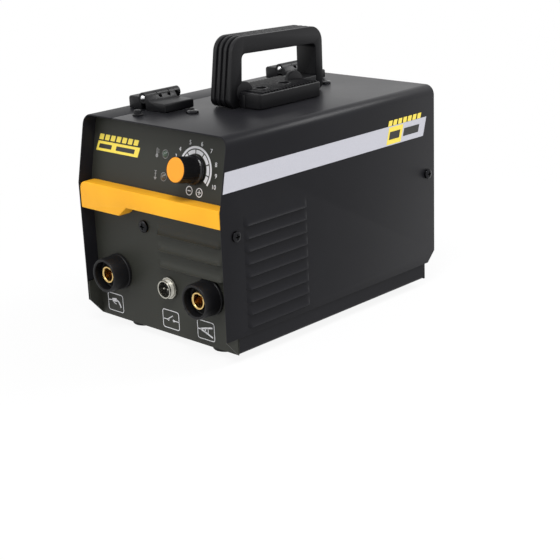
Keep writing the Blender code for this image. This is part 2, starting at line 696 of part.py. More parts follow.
def make_front_panel(finishes):
    path = [
        (PANEL_Y, TRAY_BOTTOM),
        (PANEL_Y, NOSE_HEIGHT),
        (face_y(CASE_TOP), CASE_TOP),
    ]
    section = sheet_section(path[::-1], 1, 2 * SHEET, 1)
    panel = part("front_panel", prism(section, "YZ", -CASE_WIDTH, CASE_WIDTH), finishes["panel"])
    outline = inner_outline(INNER_HALF, TRAY_BOTTOM, INNER_TOP, CORNER_RADIUS - SHEET - GAP)
    shape(panel, "INTERSECT", prism(outline, "XZ", FRONT_Y, 0))
    add_louvres(
        panel,
        [PANEL_LOUVRE_TOP - i * PANEL_LOUVRE_PITCH for i in range(PANEL_LOUVRES)],
        PANEL_LOUVRE_HEIGHT,
        "YZ",
        lambda out, z: (PANEL_Y - out, z),
        HALF_WIDTH - PANEL_LOUVRE_FROM_SIDE - PANEL_LOUVRE_LENGTH,
        HALF_WIDTH - PANEL_LOUVRE_FROM_SIDE,
    )
    front = PANEL_Y - TOOL_MARGIN
    through = 2 * TOOL_MARGIN
    holes = [
        rod(SOCKET_TAIL_RADIUS + GAP, (x, front, SOCKET_HEIGHT), (0, 1, 0), through, 20)
        for x in (TORCH_SOCKET_X, CLAMP_SOCKET_X)
    ]
    holes.append(
        rod(TRIGGER_RADIUS + GAP, (TRIGGER_X, front, TRIGGER_HEIGHT), (0, 1, 0), through)
    )
    holes.append(screw_hole(front_screw(), (0, -1, 0)))
    start = off_face(KNOB_X, KNOB_HEIGHT, -TOOL_MARGIN)
    holes.append(rod(POT_BUSH_RADIUS + GAP, start, FACE_NORMAL, through))
    for height in LAMP_HEIGHTS.values():
        start = off_face(LAMP_X, height, -TOOL_MARGIN)
        holes.append(rod(LAMP_RADIUS + GAP, start, FACE_NORMAL, through, 12))
    cut(panel, *holes)
    wall_screw = side_screws()["side_screw_front"]
    tab_rear = wall_screw[1] + 2 * SCREW_HEAD_RADIUS
    tabs = [
        block(
            (min(x, x - side * SHEET), PANEL_Y + SHEET / 2, SIDE_SCREW_HEIGHT - 2 * SCREW_HEAD_RADIUS),
            (max(x, x - side * SHEET), tab_rear, SIDE_SCREW_HEIGHT + 2 * SCREW_HEAD_RADIUS),
        )
        for side, x in ((-1, -INNER_HALF), (1, INNER_HALF))
    ]
    add(panel, *tabs)
    cut(panel, screw_hole(wall_screw, (1, 0, 0)))
    cheek = [
        (PANEL_Y + SHEET / 2, TRAY_BOTTOM),
        (PANEL_Y + SHEET / 2, TRAY_FLANGE_TOP),
        (FRONT_Y + GAP, TRAY_FLANGE_TOP),
        (FRONT_Y + GAP, WALL_BOTTOM),
        (PANEL_Y, TRAY_BOTTOM),
    ]
    cheeks = [
        prism(cheek, "YZ", min(x, x - side * SHEET), max(x, x - side * SHEET))
        for side, x in ((-1, -INNER_HALF), (1, INNER_HALF))
    ]
    add(panel, *cheeks)


def make_rear_panel(finishes):
    """A pan whose side flanges reach back along the walls."""
    reach = REAR_Y - GAP
    path = [
        (INNER_HALF, reach),
        (INNER_HALF, REAR_PANEL_Y - SHEET),
        (-INNER_HALF, REAR_PANEL_Y - SHEET),
        (-INNER_HALF, reach),
    ]
    section = sheet_section(path, -1, 0, 0)
    solid = prism(section, "XY", TRAY_BOTTOM, INNER_TOP)
    panel = part("rear_panel", solid, finishes["case"])
    outline = inner_outline(INNER_HALF, TRAY_BOTTOM, INNER_TOP, CORNER_RADIUS - SHEET - GAP)
    shape(panel, "INTERSECT", prism(outline, "XZ", 0, 2 * REAR_Y))
    below_flanges = block(
        (-CASE_WIDTH, REAR_PANEL_Y + GAP, 0),
        (CASE_WIDTH, REAR_Y + TOOL_MARGIN, WALL_BOTTOM + REAR_CHAMFER_HEIGHT),
    )
    cut(panel, below_flanges)
    front = REAR_PANEL_Y - 2 * TOOL_MARGIN
    back = REAR_PANEL_Y + TOOL_MARGIN
    slots = []
    pitch = 2 * FAN_BORE / GRILLE_SLOTS
    for i in range(GRILLE_SLOTS):
        offset = (i - (GRILLE_SLOTS - 1) / 2) * pitch
        half = math.sqrt(FAN_BORE**2 - (abs(offset) + GRILLE_SLOT / 2) ** 2)
        z = FAN_HEIGHT + offset
        low = (FAN_X - half, front, z - GRILLE_SLOT / 2)
        slots.append(block(low, (FAN_X + half, back, z + GRILLE_SLOT / 2)))
    half_w = SWITCH_WIDTH / 2 - SWITCH_BODY_INSET + GAP
    half_t = SWITCH_TALL / 2 - SWITCH_BODY_INSET + GAP
    slots.append(
        block(
            (SWITCH_X - half_w, front, SWITCH_HEIGHT - half_t),
            (SWITCH_X + half_w, back, SWITCH_HEIGHT + half_t),
        )
    )
    start = (GLAND_X, front, GLAND_HEIGHT)
    slots.append(rod(GLAND_TAIL_RADIUS + GAP, start, (0, 1, 0), back - front))
    slots.append(screw_hole(side_screws()["side_screw_rear"], (1, 0, 0)))
    cut(panel, *slots)


def make_front_trim(finishes):
    """The moulded ledge that fills the recess across the front, open at its back."""

    def outline(inset):
        left = -INNER_HALF + inset
        right = INNER_HALF - inset
        bottom = TRIM_TOP - TRIM_HEIGHT + inset
        drop_end = -INNER_HALF + TRIM_DROP_LENGTH
        return [
            (left, bottom - TRIM_DROP),
            (drop_end - inset, bottom - TRIM_DROP),
            (drop_end + TRIM_STEP_LENGTH - inset, bottom),
            (right, bottom),
            (right, TRIM_TOP - inset),
            (left, TRIM_TOP - inset),
        ]

    back = PANEL_Y - GAP
    trim = part("front_trim", prism(outline(0), "XZ", FRONT_Y, back), finishes["trim"])
    cut(trim, prism(outline(TRIM_WALL), "XZ", FRONT_Y + TRIM_WALL, back + TOOL_MARGIN))


def make_centre_partition(finishes):
    """Upright plate between the wire compartment and the inverter, with a tab behind the front screw."""
    front = PANEL_Y + SHEET / math.cos(FRONT_LEAN) + GAP
    top = INNER_TOP
    outline = [
        (front, TRAY_FLOOR + GAP),
        (REAR_PANEL_Y - SHEET - GAP, TRAY_FLOOR + GAP),
        (REAR_PANEL_Y - SHEET - GAP, top),
        (front + (top - NOSE_HEIGHT) * math.tan(FRONT_LEAN), top),
        (front, NOSE_HEIGHT),
    ]
    plate = prism(outline, "YZ", PARTITION_X, PARTITION_X + SHEET)
    partition = part("centre_partition", plate, finishes["zinc"])
    x, _, z = front_screw()
    half = 3 * SCREW_HEAD_RADIUS
    low = (PARTITION_X + SHEET / 2, PANEL_Y + SHEET + GAP, z - half)
    high = (x + 2 * SCREW_HEAD_RADIUS, PANEL_Y + 2 * SHEET + GAP, z + half)
    add(partition, block(low, high))
    start = PARTITION_X - TOOL_MARGIN
    through = 2 * TOOL_MARGIN
    cut(
        partition,
        rod(SHAFT_WAY, (start, ROLL_Y, ROLL_Z), (1, 0, 0), through),
        screw_hole(front_screw(), (0, -1, 0)),
    )


# ---------------------------------------------------------------- fasteners
def front_screw():
    x = PARTITION_X + FRONT_SCREW_FROM_PARTITION
    return (x, PANEL_Y, FRONT_SCREW_HEIGHT)


def side_screws():
    return {
        "side_screw_front": (HALF_WIDTH, FRONT_Y + SIDE_SCREW_FRONT_INSET, SIDE_SCREW_HEIGHT),
        "side_screw_rear": (HALF_WIDTH, REAR_Y - SIDE_SCREW_REAR_INSET, SIDE_SCREW_HEIGHT),
    }


def screw_hole(seat, towards):
    start = Vector(seat) - Vector(towards) * (SCREW_LENGTH + TOOL_MARGIN)
    return rod(SCREW_RADIUS + GAP, start, towards, SCREW_LENGTH + 2 * TOOL_MARGIN, 10)


def make_screw(name, seat, towards, material):
    """A pan-head screw whose head sits on the seat."""
    head = GAP / 2
    top = head + SCREW_HEAD_HEIGHT
    profile = [
        (0, -SCREW_LENGTH),
        (SCREW_RADIUS, -SCREW_LENGTH),
        (SCREW_RADIUS, head),
        (SCREW_HEAD_RADIUS, head),
        (SCREW_HEAD_RADIUS, top - SCREW_EDGE),
        (SCREW_HEAD_RADIUS - SCREW_EDGE, top),
        (0, top),
    ]
    part(name, turned(profile, 14, seat, towards), material, smooth=True)


def make_screws(finishes):
    make_screw("front_panel_screw", front_screw(), (0, -1, 0), finishes["black_steel"])
    for name, seat in side_screws().items():
        make_screw(name, seat, (1, 0, 0), finishes["black_steel"])
    seat_z = ON_TOP + HANDLE_BASE_HEIGHT - HANDLE_SCREW_RECESS
    for end, y in zip(("front", "rear"), HANDLE_SCREWS_Y):
        seat = (HANDLE_SCREW_X, y, seat_z)
        make_screw(f"handle_screw_{end}", seat, (0, 0, 1), finishes["black_steel"])


# ---------------------------------------------------------------- handle
def make_handle(finishes):
    top = ON_TOP + HANDLE_HEIGHT
    outline = [
        (HANDLE_FRONT, ON_TOP),
        (HANDLE_FRONT + HANDLE_FRONT_LEG, ON_TOP),
        (HANDLE_FRONT + HANDLE_FRONT_LEG, top - HANDLE_BAR),
        (HANDLE_REAR - HANDLE_REAR_LEG, top - HANDLE_BAR),
        (HANDLE_REAR - HANDLE_REAR_LEG, ON_TOP),
        (HANDLE_REAR, ON_TOP),
        (HANDLE_REAR, top),
        (HANDLE_FRONT + HANDLE_LEAN, top),
    ]
    inner = HANDLE_INNER_CORNER
    foot = HANDLE_FOOT_CORNER
    radii = [foot, 0, inner, inner, 0, foot, HANDLE_CORNER, HANDLE_CORNER]
    half = HANDLE_THICKNESS / 2
    solid = prism(round_corners(outline, radii, 5), "YZ", -half, half)
    part("handle", solid, finishes["handle"])


def make_handle_base(finishes):
    """The block between the handle's legs, wider to the right, where two screws hold it down."""
    low = ON_TOP
    high = ON_TOP + HANDLE_BASE_HEIGHT
    chamfer = HANDLE_BASE_CHAMFER
    left = -HANDLE_THICKNESS / 2
    beside = -left + GAP
    section = [
        (beside, low),
        (HANDLE_BASE_RIGHT, low),
        (HANDLE_BASE_RIGHT, high - chamfer),
        (HANDLE_BASE_RIGHT - chamfer, high),
        (beside, high),
    ]
    base = part(
        "handle_base",
        prism(section, "XZ", HANDLE_BASE_FRONT, HANDLE_BASE_REAR),
        finishes["handle"],
    )
    front = HANDLE_FRONT + HANDLE_FRONT_LEG + GAP
    rear = HANDLE_REAR - HANDLE_REAR_LEG - GAP
    add(base, block((left, front, low), (beside + MERGE, HANDLE_BASE_REAR - MERGE, high)))
    add(base, block((left, HANDLE_BASE_REAR - chamfer, low), (-left, rear, high)))
    seat = high - HANDLE_SCREW_RECESS
    recesses = [
        rod(HANDLE_RECESS_RADIUS, (HANDLE_SCREW_X, y, seat), (0, 0, 1), 2 * HANDLE_SCREW_RECESS)
        for y in HANDLE_SCREWS_Y
    ]
    cut(base, *recesses)
    holes = [
        rod(SCREW_RADIUS + GAP, (HANDLE_SCREW_X, y, low - TOOL_MARGIN), (0, 0, 1), 3 * TOOL_MARGIN, 10)
        for y in HANDLE_SCREWS_Y
    ]
    cut(base, *holes)


# ---------------------------------------------------------------- door hinges
def make_hinge(end, start, finishes):
    """Fixed leaf with a knuckle at each end, moving leaf with one between them, and their pin."""
    finish_y = start + HINGE_LENGTH
    inner_start = start + HINGE_KNUCKLE_LENGTH
    inner_end = finish_y - HINGE_KNUCKLE_LENGTH
    sweep = HINGE_KNUCKLE_RADIUS + 2 * GAP
    bore = rod(HINGE_PIN_RADIUS + GAP, (PIN_X, start - TOOL_MARGIN, PIN_Z), (0, 1, 0), 2 * HINGE_LENGTH)

    def knuckle(low, high):
        return rod(HINGE_KNUCKLE_RADIUS, (PIN_X, low, PIN_Z), (0, 1, 0), high - low)

    def relief(low, high):
        return rod(sweep, (PIN_X, low - GAP, PIN_Z), (0, 1, 0), high - low + 2 * GAP)

    fixed = part(
        f"hinge_fixed_leaf_{end}",
        block(
            (PIN_X + HINGE_SEAM_OFFSET + GAP, start, ON_TOP),
            (PIN_X + HINGE_FIXED_WIDTH, finish_y, ON_TOP + HINGE_FIXED_HEIGHT),
        ),
        finishes["handle"],
    )
    add(fixed, knuckle(start, inner_start), knuckle(inner_end, finish_y))
    cut(fixed, relief(inner_start, inner_end))
    cut(fixed, bore)

    axis_point = (PIN_X, inner_start, PIN_Z)
    moving = part(
        f"hinge_moving_leaf_{end}",
        block(
            (PIN_X - HINGE_MOVING_WIDTH, start, ON_TOP),
            (PIN_X - HINGE_PIN_RADIUS, finish_y, ON_TOP + HINGE_MOVING_HEIGHT),
        ),
        finishes["handle"],
        axis_point,
    )
    add(moving, knuckle(inner_start + GAP, inner_end - GAP))
    cut(
        moving,
        relief(start - TOOL_MARGIN, inner_start),
        relief(inner_end, finish_y + TOOL_MARGIN),
    )
    cut(moving, bore.copy())
    pin = rod(HINGE_PIN_RADIUS, (PIN_X, start - GAP, PIN_Z), (0, 1, 0), HINGE_LENGTH + 2 * GAP)
    part(f"hinge_pin_{end}", pin, finishes["steel"], (PIN_X, start, PIN_Z), smooth=True)


# ---------------------------------------------------------------- front sockets
def make_welding_socket(name, x, finishes):
    """Bayonet socket: a moulded shroud round a brass insert, whose tail passes through the panel."""
    face = GAP
    rim = SOCKET_DEPTH
    cup = rim - SOCKET_CUP_DEPTH
    tail = -SHEET - SOCKET_TAIL
    hole = INSERT_RADIUS + GAP
    profile = [
        (hole, tail),
        (SOCKET_TAIL_RADIUS, tail),
        (SOCKET_TAIL_RADIUS, face),
        (SOCKET_RADIUS, face),
        (SOCKET_RIM_RADIUS, rim),
        (SOCKET_CUP_RADIUS, rim),
        (SOCKET_CUP_RADIUS, cup),
        (hole, cup),
    ]
    at = (x, PANEL_Y, SOCKET_HEIGHT)
    shroud = turned(profile, 24, at, (0, -1, 0))
    part(f"{name}_socket_shroud", shroud, finishes["moulding"], smooth=True)
    mouth = rim - INSERT_SETBACK
    flange = tail - GAP
    profile = [
        (0, flange - INSERT_FLANGE - INSERT_STUD),
        (INSERT_STUD_RADIUS, flange - INSERT_FLANGE - INSERT_STUD),
        (INSERT_STUD_RADIUS, flange - INSERT_FLANGE),
        (SOCKET_TAIL_RADIUS, flange - INSERT_FLANGE),
        (SOCKET_TAIL_RADIUS, flange),
        (INSERT_RADIUS, flange),
        (INSERT_RADIUS, mouth),
        (INSERT_BORE, mouth),
        (INSERT_BORE, mouth - INSERT_BORE_DEPTH),
        (0, mouth - INSERT_BORE_DEPTH),
    ]
    insert = turned(profile, 20, at, (0, -1, 0))
    part(f"{name}_socket_insert", insert, finishes["brass"], smooth=True)


def make_trigger_socket(finishes):
    at = (TRIGGER_X, PANEL_Y, TRIGGER_HEIGHT)
    profile = [
        (TRIGGER_BORE, -TRIGGER_TAIL),
        (TRIGGER_RADIUS, -TRIGGER_TAIL),
        (TRIGGER_RADIUS, GAP),
        (TRIGGER_NUT_RADIUS, GAP),
        (TRIGGER_NUT_RADIUS, GAP + TRIGGER_NUT),
        (TRIGGER_RADIUS, GAP + TRIGGER_NUT),
        (TRIGGER_RADIUS, TRIGGER_DEPTH),
        (TRIGGER_BORE, TRIGGER_DEPTH),
    ]
    barrel = turned(profile, 20, at, (0, -1, 0))
    part("trigger_socket", barrel, finishes["nickel"], smooth=True)
    face = TRIGGER_DEPTH - TRIGGER_INSERT_SETBACK
    start = Vector(at) + Vector((0, TRIGGER_TAIL, 0))
    core = rod(TRIGGER_BORE - GAP, start, (0, -1, 0), TRIGGER_TAIL + face, 20)
    insert = part("trigger_insert", core, finishes["insulator"])
    pins = [
        rod(
            TRIGGER_PIN_RADIUS,
            (TRIGGER_X + side * TRIGGER_PIN_SPACING / 2, PANEL_Y, TRIGGER_HEIGHT),
            (0, -1, 0),
            face + TRIGGER_PIN,
            8,
        )
        for side in (-1, 1)
    ]
    add(insert, *pins)


# ---------------------------------------------------------------- controls
def make_knob(finishes):
    """The body turns with its shaft in the potentiometer; the cap is pressed into the body's end."""
    origin = off_face(KNOB_X, KNOB_HEIGHT, 0)
    top = KNOB_LENGTH - KNOB_CAP
    profile = [
        (0, -POT_LENGTH),
        (KNOB_SHAFT_RADIUS, -POT_LENGTH),
        (KNOB_SHAFT_RADIUS, 3 * GAP),
        (KNOB_SKIRT_RADIUS, 3 * GAP),
        (KNOB_RADIUS, KNOB_SKIRT),
        (KNOB_CAP_RADIUS + GAP, KNOB_LENGTH),
        (KNOB_CAP_RADIUS + GAP, top),
        (0, top),
    ]
    body = turned(profile, 24, origin, FACE_NORMAL)
    part("control_knob", body, finishes["moulding"], origin, smooth=True)
    start = off_face(KNOB_X, KNOB_HEIGHT, top + GAP)
    cap = rod(KNOB_CAP_RADIUS, start, FACE_NORMAL, KNOB_CAP - GAP, 24)
    part("knob_cap", cap, finishes["cap"], origin, smooth=True)


def make_potentiometer(finishes):
    hole = KNOB_SHAFT_RADIUS + GAP
    back = -SHEET - GAP
    profile = [
        (hole, back - POT_LENGTH),
        (POT_RADIUS, back - POT_LENGTH),
        (POT_RADIUS, back),
        (POT_BUSH_RADIUS, back),
        (POT_BUSH_RADIUS, GAP),
        (hole, GAP),
    ]
    origin = off_face(KNOB_X, KNOB_HEIGHT, 0)
    part("potentiometer", turned(profile, 20, origin, FACE_NORMAL), finishes["zinc"])


def make_lamps(finishes):
    profile = [
        (0, -LAMP_BODY),
        (LAMP_RADIUS, -LAMP_BODY),
        (LAMP_RADIUS, GAP),
        (LAMP_FLANGE_RADIUS, GAP),
        (LAMP_FLANGE_RADIUS, GAP + LAMP_DOME / 4),
        (LAMP_RADIUS, GAP + LAMP_DOME / 2),
        (LAMP_RADIUS / 2, GAP + LAMP_DOME),
        (0, GAP + LAMP_DOME),
    ]
    for place, height in LAMP_HEIGHTS.items():
        at = off_face(LAMP_X, height, 0)
        finish_name = "green_lamp" if place == "upper" else "amber_lamp"
        lamp = turned(profile, 12, at, FACE_NORMAL)
        part(f"indicator_{place}", lamp, finishes[finish_name], smooth=True)


# ---------------------------------------------------------------- wire drive
def make_feed_motor(finishes):
    """Gearbox and motor on the inverter side of the partition, bored for the drive shaft."""
    near = PARTITION_X + SHEET + GAP
    hole = SHAFT_RADIUS + GAP
    bore_depth = GEARBOX_LENGTH - GEARBOX_END_WALL
    profile = [
        (hole, 0),
        (GEARBOX_RADIUS, 0),
        (GEARBOX_RADIUS, GEARBOX_LENGTH),
        (MOTOR_RADIUS, GEARBOX_LENGTH),
        (MOTOR_RADIUS, GEARBOX_LENGTH + MOTOR_LENGTH),
        (0, GEARBOX_LENGTH + MOTOR_LENGTH),
    ]
    outline = [(0, bore_depth), (hole, bore_depth)] + profile
    motor = turned(outline, 20, (near, ROLL_Y, ROLL_Z), (1, 0, 0))
    part("feed_motor", motor, finishes["motor"], smooth=True)


def make_feed_plate(finishes):
    """Moulded block on the partition, with two arms that hold the wire guides and a pivot for the arm."""
    near = PARTITION_X - GAP
    front = ROLL_Y - FEED_LENGTH / 2
    rear = ROLL_Y + FEED_LENGTH / 2
    top = PIVOT_Z + PIVOT_BOSS
    low = (FEED_FACE_X, front, FEED_BOTTOM)
    plate = part("feed_plate", block(low, (near, rear, top)), finishes["nylon"])
    outer = WIRE_X - FEED_ARM_REACH
    arms = [
        block(
            (outer, y, WIRE_Z - FEED_ARM_HEIGHT),
            (FEED_FACE_X + MERGE, y + FEED_ARM_LENGTH, WIRE_Z + FEED_ARM_HEIGHT),
        )
        for y in (front, rear - FEED_ARM_LENGTH)
    ]
    pivot_start = (FEED_FACE_X + MERGE, PIVOT_Y, PIVOT_Z)
    pivot_length = MERGE + GAP + ARM_THICKNESS + PIVOT_END
    pivot = rod(PIVOT_RADIUS, pivot_start, (-1, 0, 0), pivot_length, 12)
    add(plate, *arms, pivot)
    shaft_hole = rod(
        SHAFT_RADIUS + GAP, (outer, ROLL_Y, ROLL_Z), (1, 0, 0), near - outer + TOOL_MARGIN
    )
    guide_hole = rod(
        GUIDE_RADIUS + GAP,
        (WIRE_X, front - TOOL_MARGIN, WIRE_Z),
        (0, 1, 0),
        FEED_LENGTH + 2 * TOOL_MARGIN,
        10,
    )
    cut(plate, shaft_hole, guide_hole)


def make_drive_roll(finishes):
    """Grooved roll in one piece with its shaft, which runs through the feed plate into the gearbox."""
    half = ROLL_WIDTH / 2
    length = PARTITION_X + SHEET + GEARBOX_LENGTH - SHAFT_END_GAP - WIRE_X
    profile = [
        (0, -half - ROLL_COLLAR),
        (SHAFT_RADIUS + ROLL_COLLAR, -half - ROLL_COLLAR),
        (SHAFT_RADIUS + ROLL_COLLAR, -half),
        (ROLL_RADIUS, -half),
        (ROLL_RADIUS, -ROLL_GROOVE),
        (ROLL_RADIUS - ROLL_GROOVE, 0),
        (ROLL_RADIUS, ROLL_GROOVE),
        (ROLL_RADIUS, half),
        (SHAFT_RADIUS, half),
        (SHAFT_RADIUS, length),
        (0, length),
    ]
    origin = (WIRE_X, ROLL_Y, ROLL_Z)
    roll = turned(profile, 24, origin, (1, 0, 0))
    part("drive_roll", roll, finishes["steel"], origin, smooth=True)


def make_pressure_arm(finishes):
    """Arm from its pivot over the rolls to the tension screw, with the axle of the pressure roll."""
    origin = (ARM_NEAR_X, PIVOT_Y, PIVOT_Z)
    half = ARM_HEIGHT / 2
    front = TENSION_Y - TENSION_RADIUS
    bar = block(
        (ARM_FAR_X, front, PIVOT_Z - half), (ARM_NEAR_X, PIVOT_Y, PIVOT_Z + half)
    )
    arm = part("pressure_arm", bar, finishes["aluminium"], origin)
    boss = rod(PIVOT_BOSS, (ARM_NEAR_X, PIVOT_Y, PIVOT_Z), (-1, 0, 0), ARM_THICKNESS)
    hanger = block(
        (ARM_FAR_X, ROLL_Y - half, PRESSURE_Z - half), (ARM_NEAR_X, ROLL_Y + half, PIVOT_Z)
    )
    add(arm, boss)
    add(arm, hanger)
    axle_length = ARM_THICKNESS / 2 + ARM_FAR_X - WIRE_X + ROLL_WIDTH / 2
    start = (ARM_FAR_X + ARM_THICKNESS / 2, ROLL_Y, PRESSURE_Z)
    add(arm, rod(ARM_AXLE_RADIUS, start, (-1, 0, 0), axle_length, 12))
    ear = block(
        (WIRE_X - TENSION_RADIUS, front, PIVOT_Z - half),
        (ARM_FAR_X + MERGE, TENSION_Y + TENSION_RADIUS, PIVOT_Z + half),
    )
    add(arm, ear)
    stem_hole = rod(
        TENSION_STEM_RADIUS + GAP,
        (WIRE_X, TENSION_Y, PIVOT_Z - ARM_HEIGHT),
        (0, 0, 1),
        2 * ARM_HEIGHT,
        12,
    )
    pivot_hole = rod(
        PIVOT_RADIUS + GAP,
        (ARM_NEAR_X + TOOL_MARGIN, PIVOT_Y, PIVOT_Z),
        (-1, 0, 0),
        ARM_THICKNESS + 2 * TOOL_MARGIN,
        12,
    )
    cut(arm, stem_hole, pivot_hole)


def make_pressure_roll(finishes):
    origin = (WIRE_X, ROLL_Y, PRESSURE_Z)
    start = (WIRE_X + ROLL_WIDTH / 2, ROLL_Y, PRESSURE_Z)
    roll = tube(ARM_AXLE_RADIUS + GAP, PRESSURE_RADIUS, start, (-1, 0, 0), ROLL_WIDTH, 20)
    part("pressure_roll", roll, finishes["steel"], origin, smooth=True)


def make_tension_screw(finishes):
    """Knob whose stem turns in the ear of the pressure arm and bears on the front guide arm."""
    arm_top = PIVOT_Z + ARM_HEIGHT / 2 + GAP
    stem_bottom = WIRE_Z + FEED_ARM_HEIGHT + GAP
    stem = arm_top - stem_bottom
    profile = [
        (0, 0),
        (TENSION_STEM_RADIUS, 0),
        (TENSION_STEM_RADIUS, stem),
        (TENSION_RADIUS, stem),
        (TENSION_RADIUS, stem + TENSION_HEIGHT - TENSION_CHAMFER),
        (TENSION_RADIUS - TENSION_CHAMFER, stem + TENSION_HEIGHT),
        (0, stem + TENSION_HEIGHT),
    ]
    origin = (WIRE_X, TENSION_Y, stem_bottom)
    part("tension_screw", turned(profile, 16, origin), finishes["nylon"], origin, smooth=True)


def make_guides(finishes):
    """Brass tubes that lead the wire to the rolls and on to the torch socket."""
    rear = ROLL_Y + FEED_LENGTH / 2
    profile = [
        (GUIDE_BORE, -FEED_ARM_LENGTH),
        (GUIDE_RADIUS, -FEED_ARM_LENGTH),
        (GUIDE_RADIUS, GAP),
        (GUIDE_FLANGE, GAP),
        (GUIDE_FLANGE, GAP + GUIDE_FLANGE_THICKNESS),
        (2 * GUIDE_BORE, GAP + GUIDE_NOSE),
        (GUIDE_BORE, GAP + GUIDE_NOSE),
    ]
    inlet = turned(profile, 10, (WIRE_X, rear, WIRE_Z), (0, 1, 0))
    part("inlet_guide", inlet, finishes["brass"], smooth=True)
    front = ROLL_Y - FEED_LENGTH / 2 + FEED_ARM_LENGTH
    socket_back = PANEL_Y + SHEET + SOCKET_TAIL + GAP + INSERT_FLANGE + INSERT_STUD + GAP
    start = (WIRE_X, socket_back, WIRE_Z)
    outlet = tube(GUIDE_BORE, GUIDE_RADIUS, start, (0, 1, 0), front - socket_back, 10)
    part("outlet_guide", outlet, finishes["brass"], smooth=True)


# ---------------------------------------------------------------- wire spool
def make_spindle(finishes):
    near = PARTITION_X - GAP
    hub = SPOOL_BORE - GAP
    length = near - SPOOL_FAR_X + GAP + NUT_LENGTH
    profile = [
        (0, 0),
        (SPINDLE_FLANGE_RADIUS, 0),
        (SPINDLE_FLANGE_RADIUS, SPINDLE_FLANGE),
        (hub, SPINDLE_FLANGE),
        (hub, length),
        (0, length),
    ]
    at = (near, SPOOL_Y, SPOOL_HEIGHT)
    part("spool_spindle", turned(profile, 20, at, (-1, 0, 0)), finishes["nylon"], smooth=True)


def make_spool(finishes):
    origin = (SPOOL_NEAR_X, SPOOL_Y, SPOOL_HEIGHT)
    inner = SPOOL_WIDTH - SPOOL_FLANGE
    profile = [
        (SPOOL_BORE, 0),
        (SPOOL_RADIUS, 0),
        (SPOOL_RADIUS, SPOOL_FLANGE),
        (SPOOL_CORE_RADIUS, SPOOL_FLANGE),
        (SPOOL_CORE_RADIUS, inner),
        (SPOOL_RADIUS, inner),
        (SPOOL_RADIUS, SPOOL_WIDTH),
        (SPOOL_BORE, SPOOL_WIDTH),
    ]
    spool = turned(profile, 32, origin, (-1, 0, 0))
    part("wire_spool", spool, finishes["moulding"], origin, smooth=True)
    start = (SPOOL_NEAR_X - SPOOL_FLANGE - GAP, SPOOL_Y, SPOOL_HEIGHT)
    width = SPOOL_WIDTH - 2 * SPOOL_FLANGE - 2 * GAP
    winding = tube(SPOOL_CORE_RADIUS + GAP, WINDING_RADIUS, start, (-1, 0, 0), width, 32)
    part("wire_winding", winding, finishes["wire"], origin, smooth=True)
    nut_start = (SPOOL_FAR_X - GAP, SPOOL_Y, SPOOL_HEIGHT)
    nut = tube(SPOOL_BORE, NUT_RADIUS, nut_start, (-1, 0, 0), NUT_LENGTH, 12)
    part("spool_nut", nut, finishes["nylon"])


# ---------------------------------------------------------------- fan
def make_fan(finishes):
    """Frame with a spider at its rear face, and the rotor on the spider's pin."""
    half = FAN_SIZE / 2
    square = rectangle(FAN_X - half, FAN_HEIGHT - half, FAN_X + half, FAN_HEIGHT + half)
    outline = round_corners(square, FAN_CORNER, 2)
    rear = FAN_FRONT_Y + FAN_DEPTH
    frame = part(
        "fan_frame", prism(outline, "XZ", FAN_FRONT_Y, rear), finishes["moulding"]
    )
    bore_start = (FAN_X, FAN_FRONT_Y - TOOL_MARGIN, FAN_HEIGHT)
    cut(frame, rod(FAN_BORE, bore_start, (0, 1, 0), FAN_DEPTH + 2 * TOOL_MARGIN, 28))
    spider_y = rear - FAN_SPIDER
    arm = FAN_ARM / 2
    reach = FAN_BORE + MERGE
    upright = block(
        (FAN_X - arm, spider_y, FAN_HEIGHT - reach), (FAN_X + arm, rear, FAN_HEIGHT + reach)
    )
    level = block(
        (FAN_X - reach, spider_y, FAN_HEIGHT - arm), (FAN_X + reach, rear, FAN_HEIGHT + arm)
    )
    add(frame, upright)
    add(frame, level)
    hub = rod(FAN_HUB_RADIUS, (FAN_X, spider_y, FAN_HEIGHT), (0, 1, 0), FAN_SPIDER, 20)
    add(frame, hub)
    pin_length = FAN_HUB - FAN_HUB_CAP
    pin = rod(
        FAN_SHAFT_RADIUS, (FAN_X, rear - FAN_SPIDER / 2, FAN_HEIGHT), (0, -1, 0), pin_length, 10
    )
    add(frame, pin)

    rotor_rear = spider_y - 2 * GAP
    origin = (FAN_X, rotor_rear, FAN_HEIGHT)
    bore_depth = pin_length - FAN_SPIDER / 2
    profile = [
        (0, bore_depth),
        (FAN_SHAFT_RADIUS + GAP, bore_depth),
        (FAN_SHAFT_RADIUS + GAP, 0),
        (FAN_HUB_RADIUS, 0),
        (FAN_HUB_RADIUS, FAN_HUB),
        (0, FAN_HUB),
    ]
    rotor = part(
        "fan_rotor", turned(profile, 21, origin, (0, -1, 0)), finishes["moulding"], origin
    )
    middle = Matrix.Translation((FAN_X, rotor_rear - FAN_HUB / 2, FAN_HEIGHT))
    blades = []
    for i in range(FAN_BLADES):
        blade = block(
            (-FAN_BLADE_WIDTH / 2, -FAN_BLADE_THICKNESS / 2, FAN_HUB_RADIUS - FAN_BLADE_ROOT),
            (FAN_BLADE_WIDTH / 2, FAN_BLADE_THICKNESS / 2, FAN_BLADE_RADIUS),
        )
        around = Matrix.Rotation(math.tau * i / FAN_BLADES, 4, "Y")
        blade.transform(middle @ around @ Matrix.Rotation(FAN_PITCH, 4, "Z"))
        blades.append(blade)
    add(rotor, *blades)


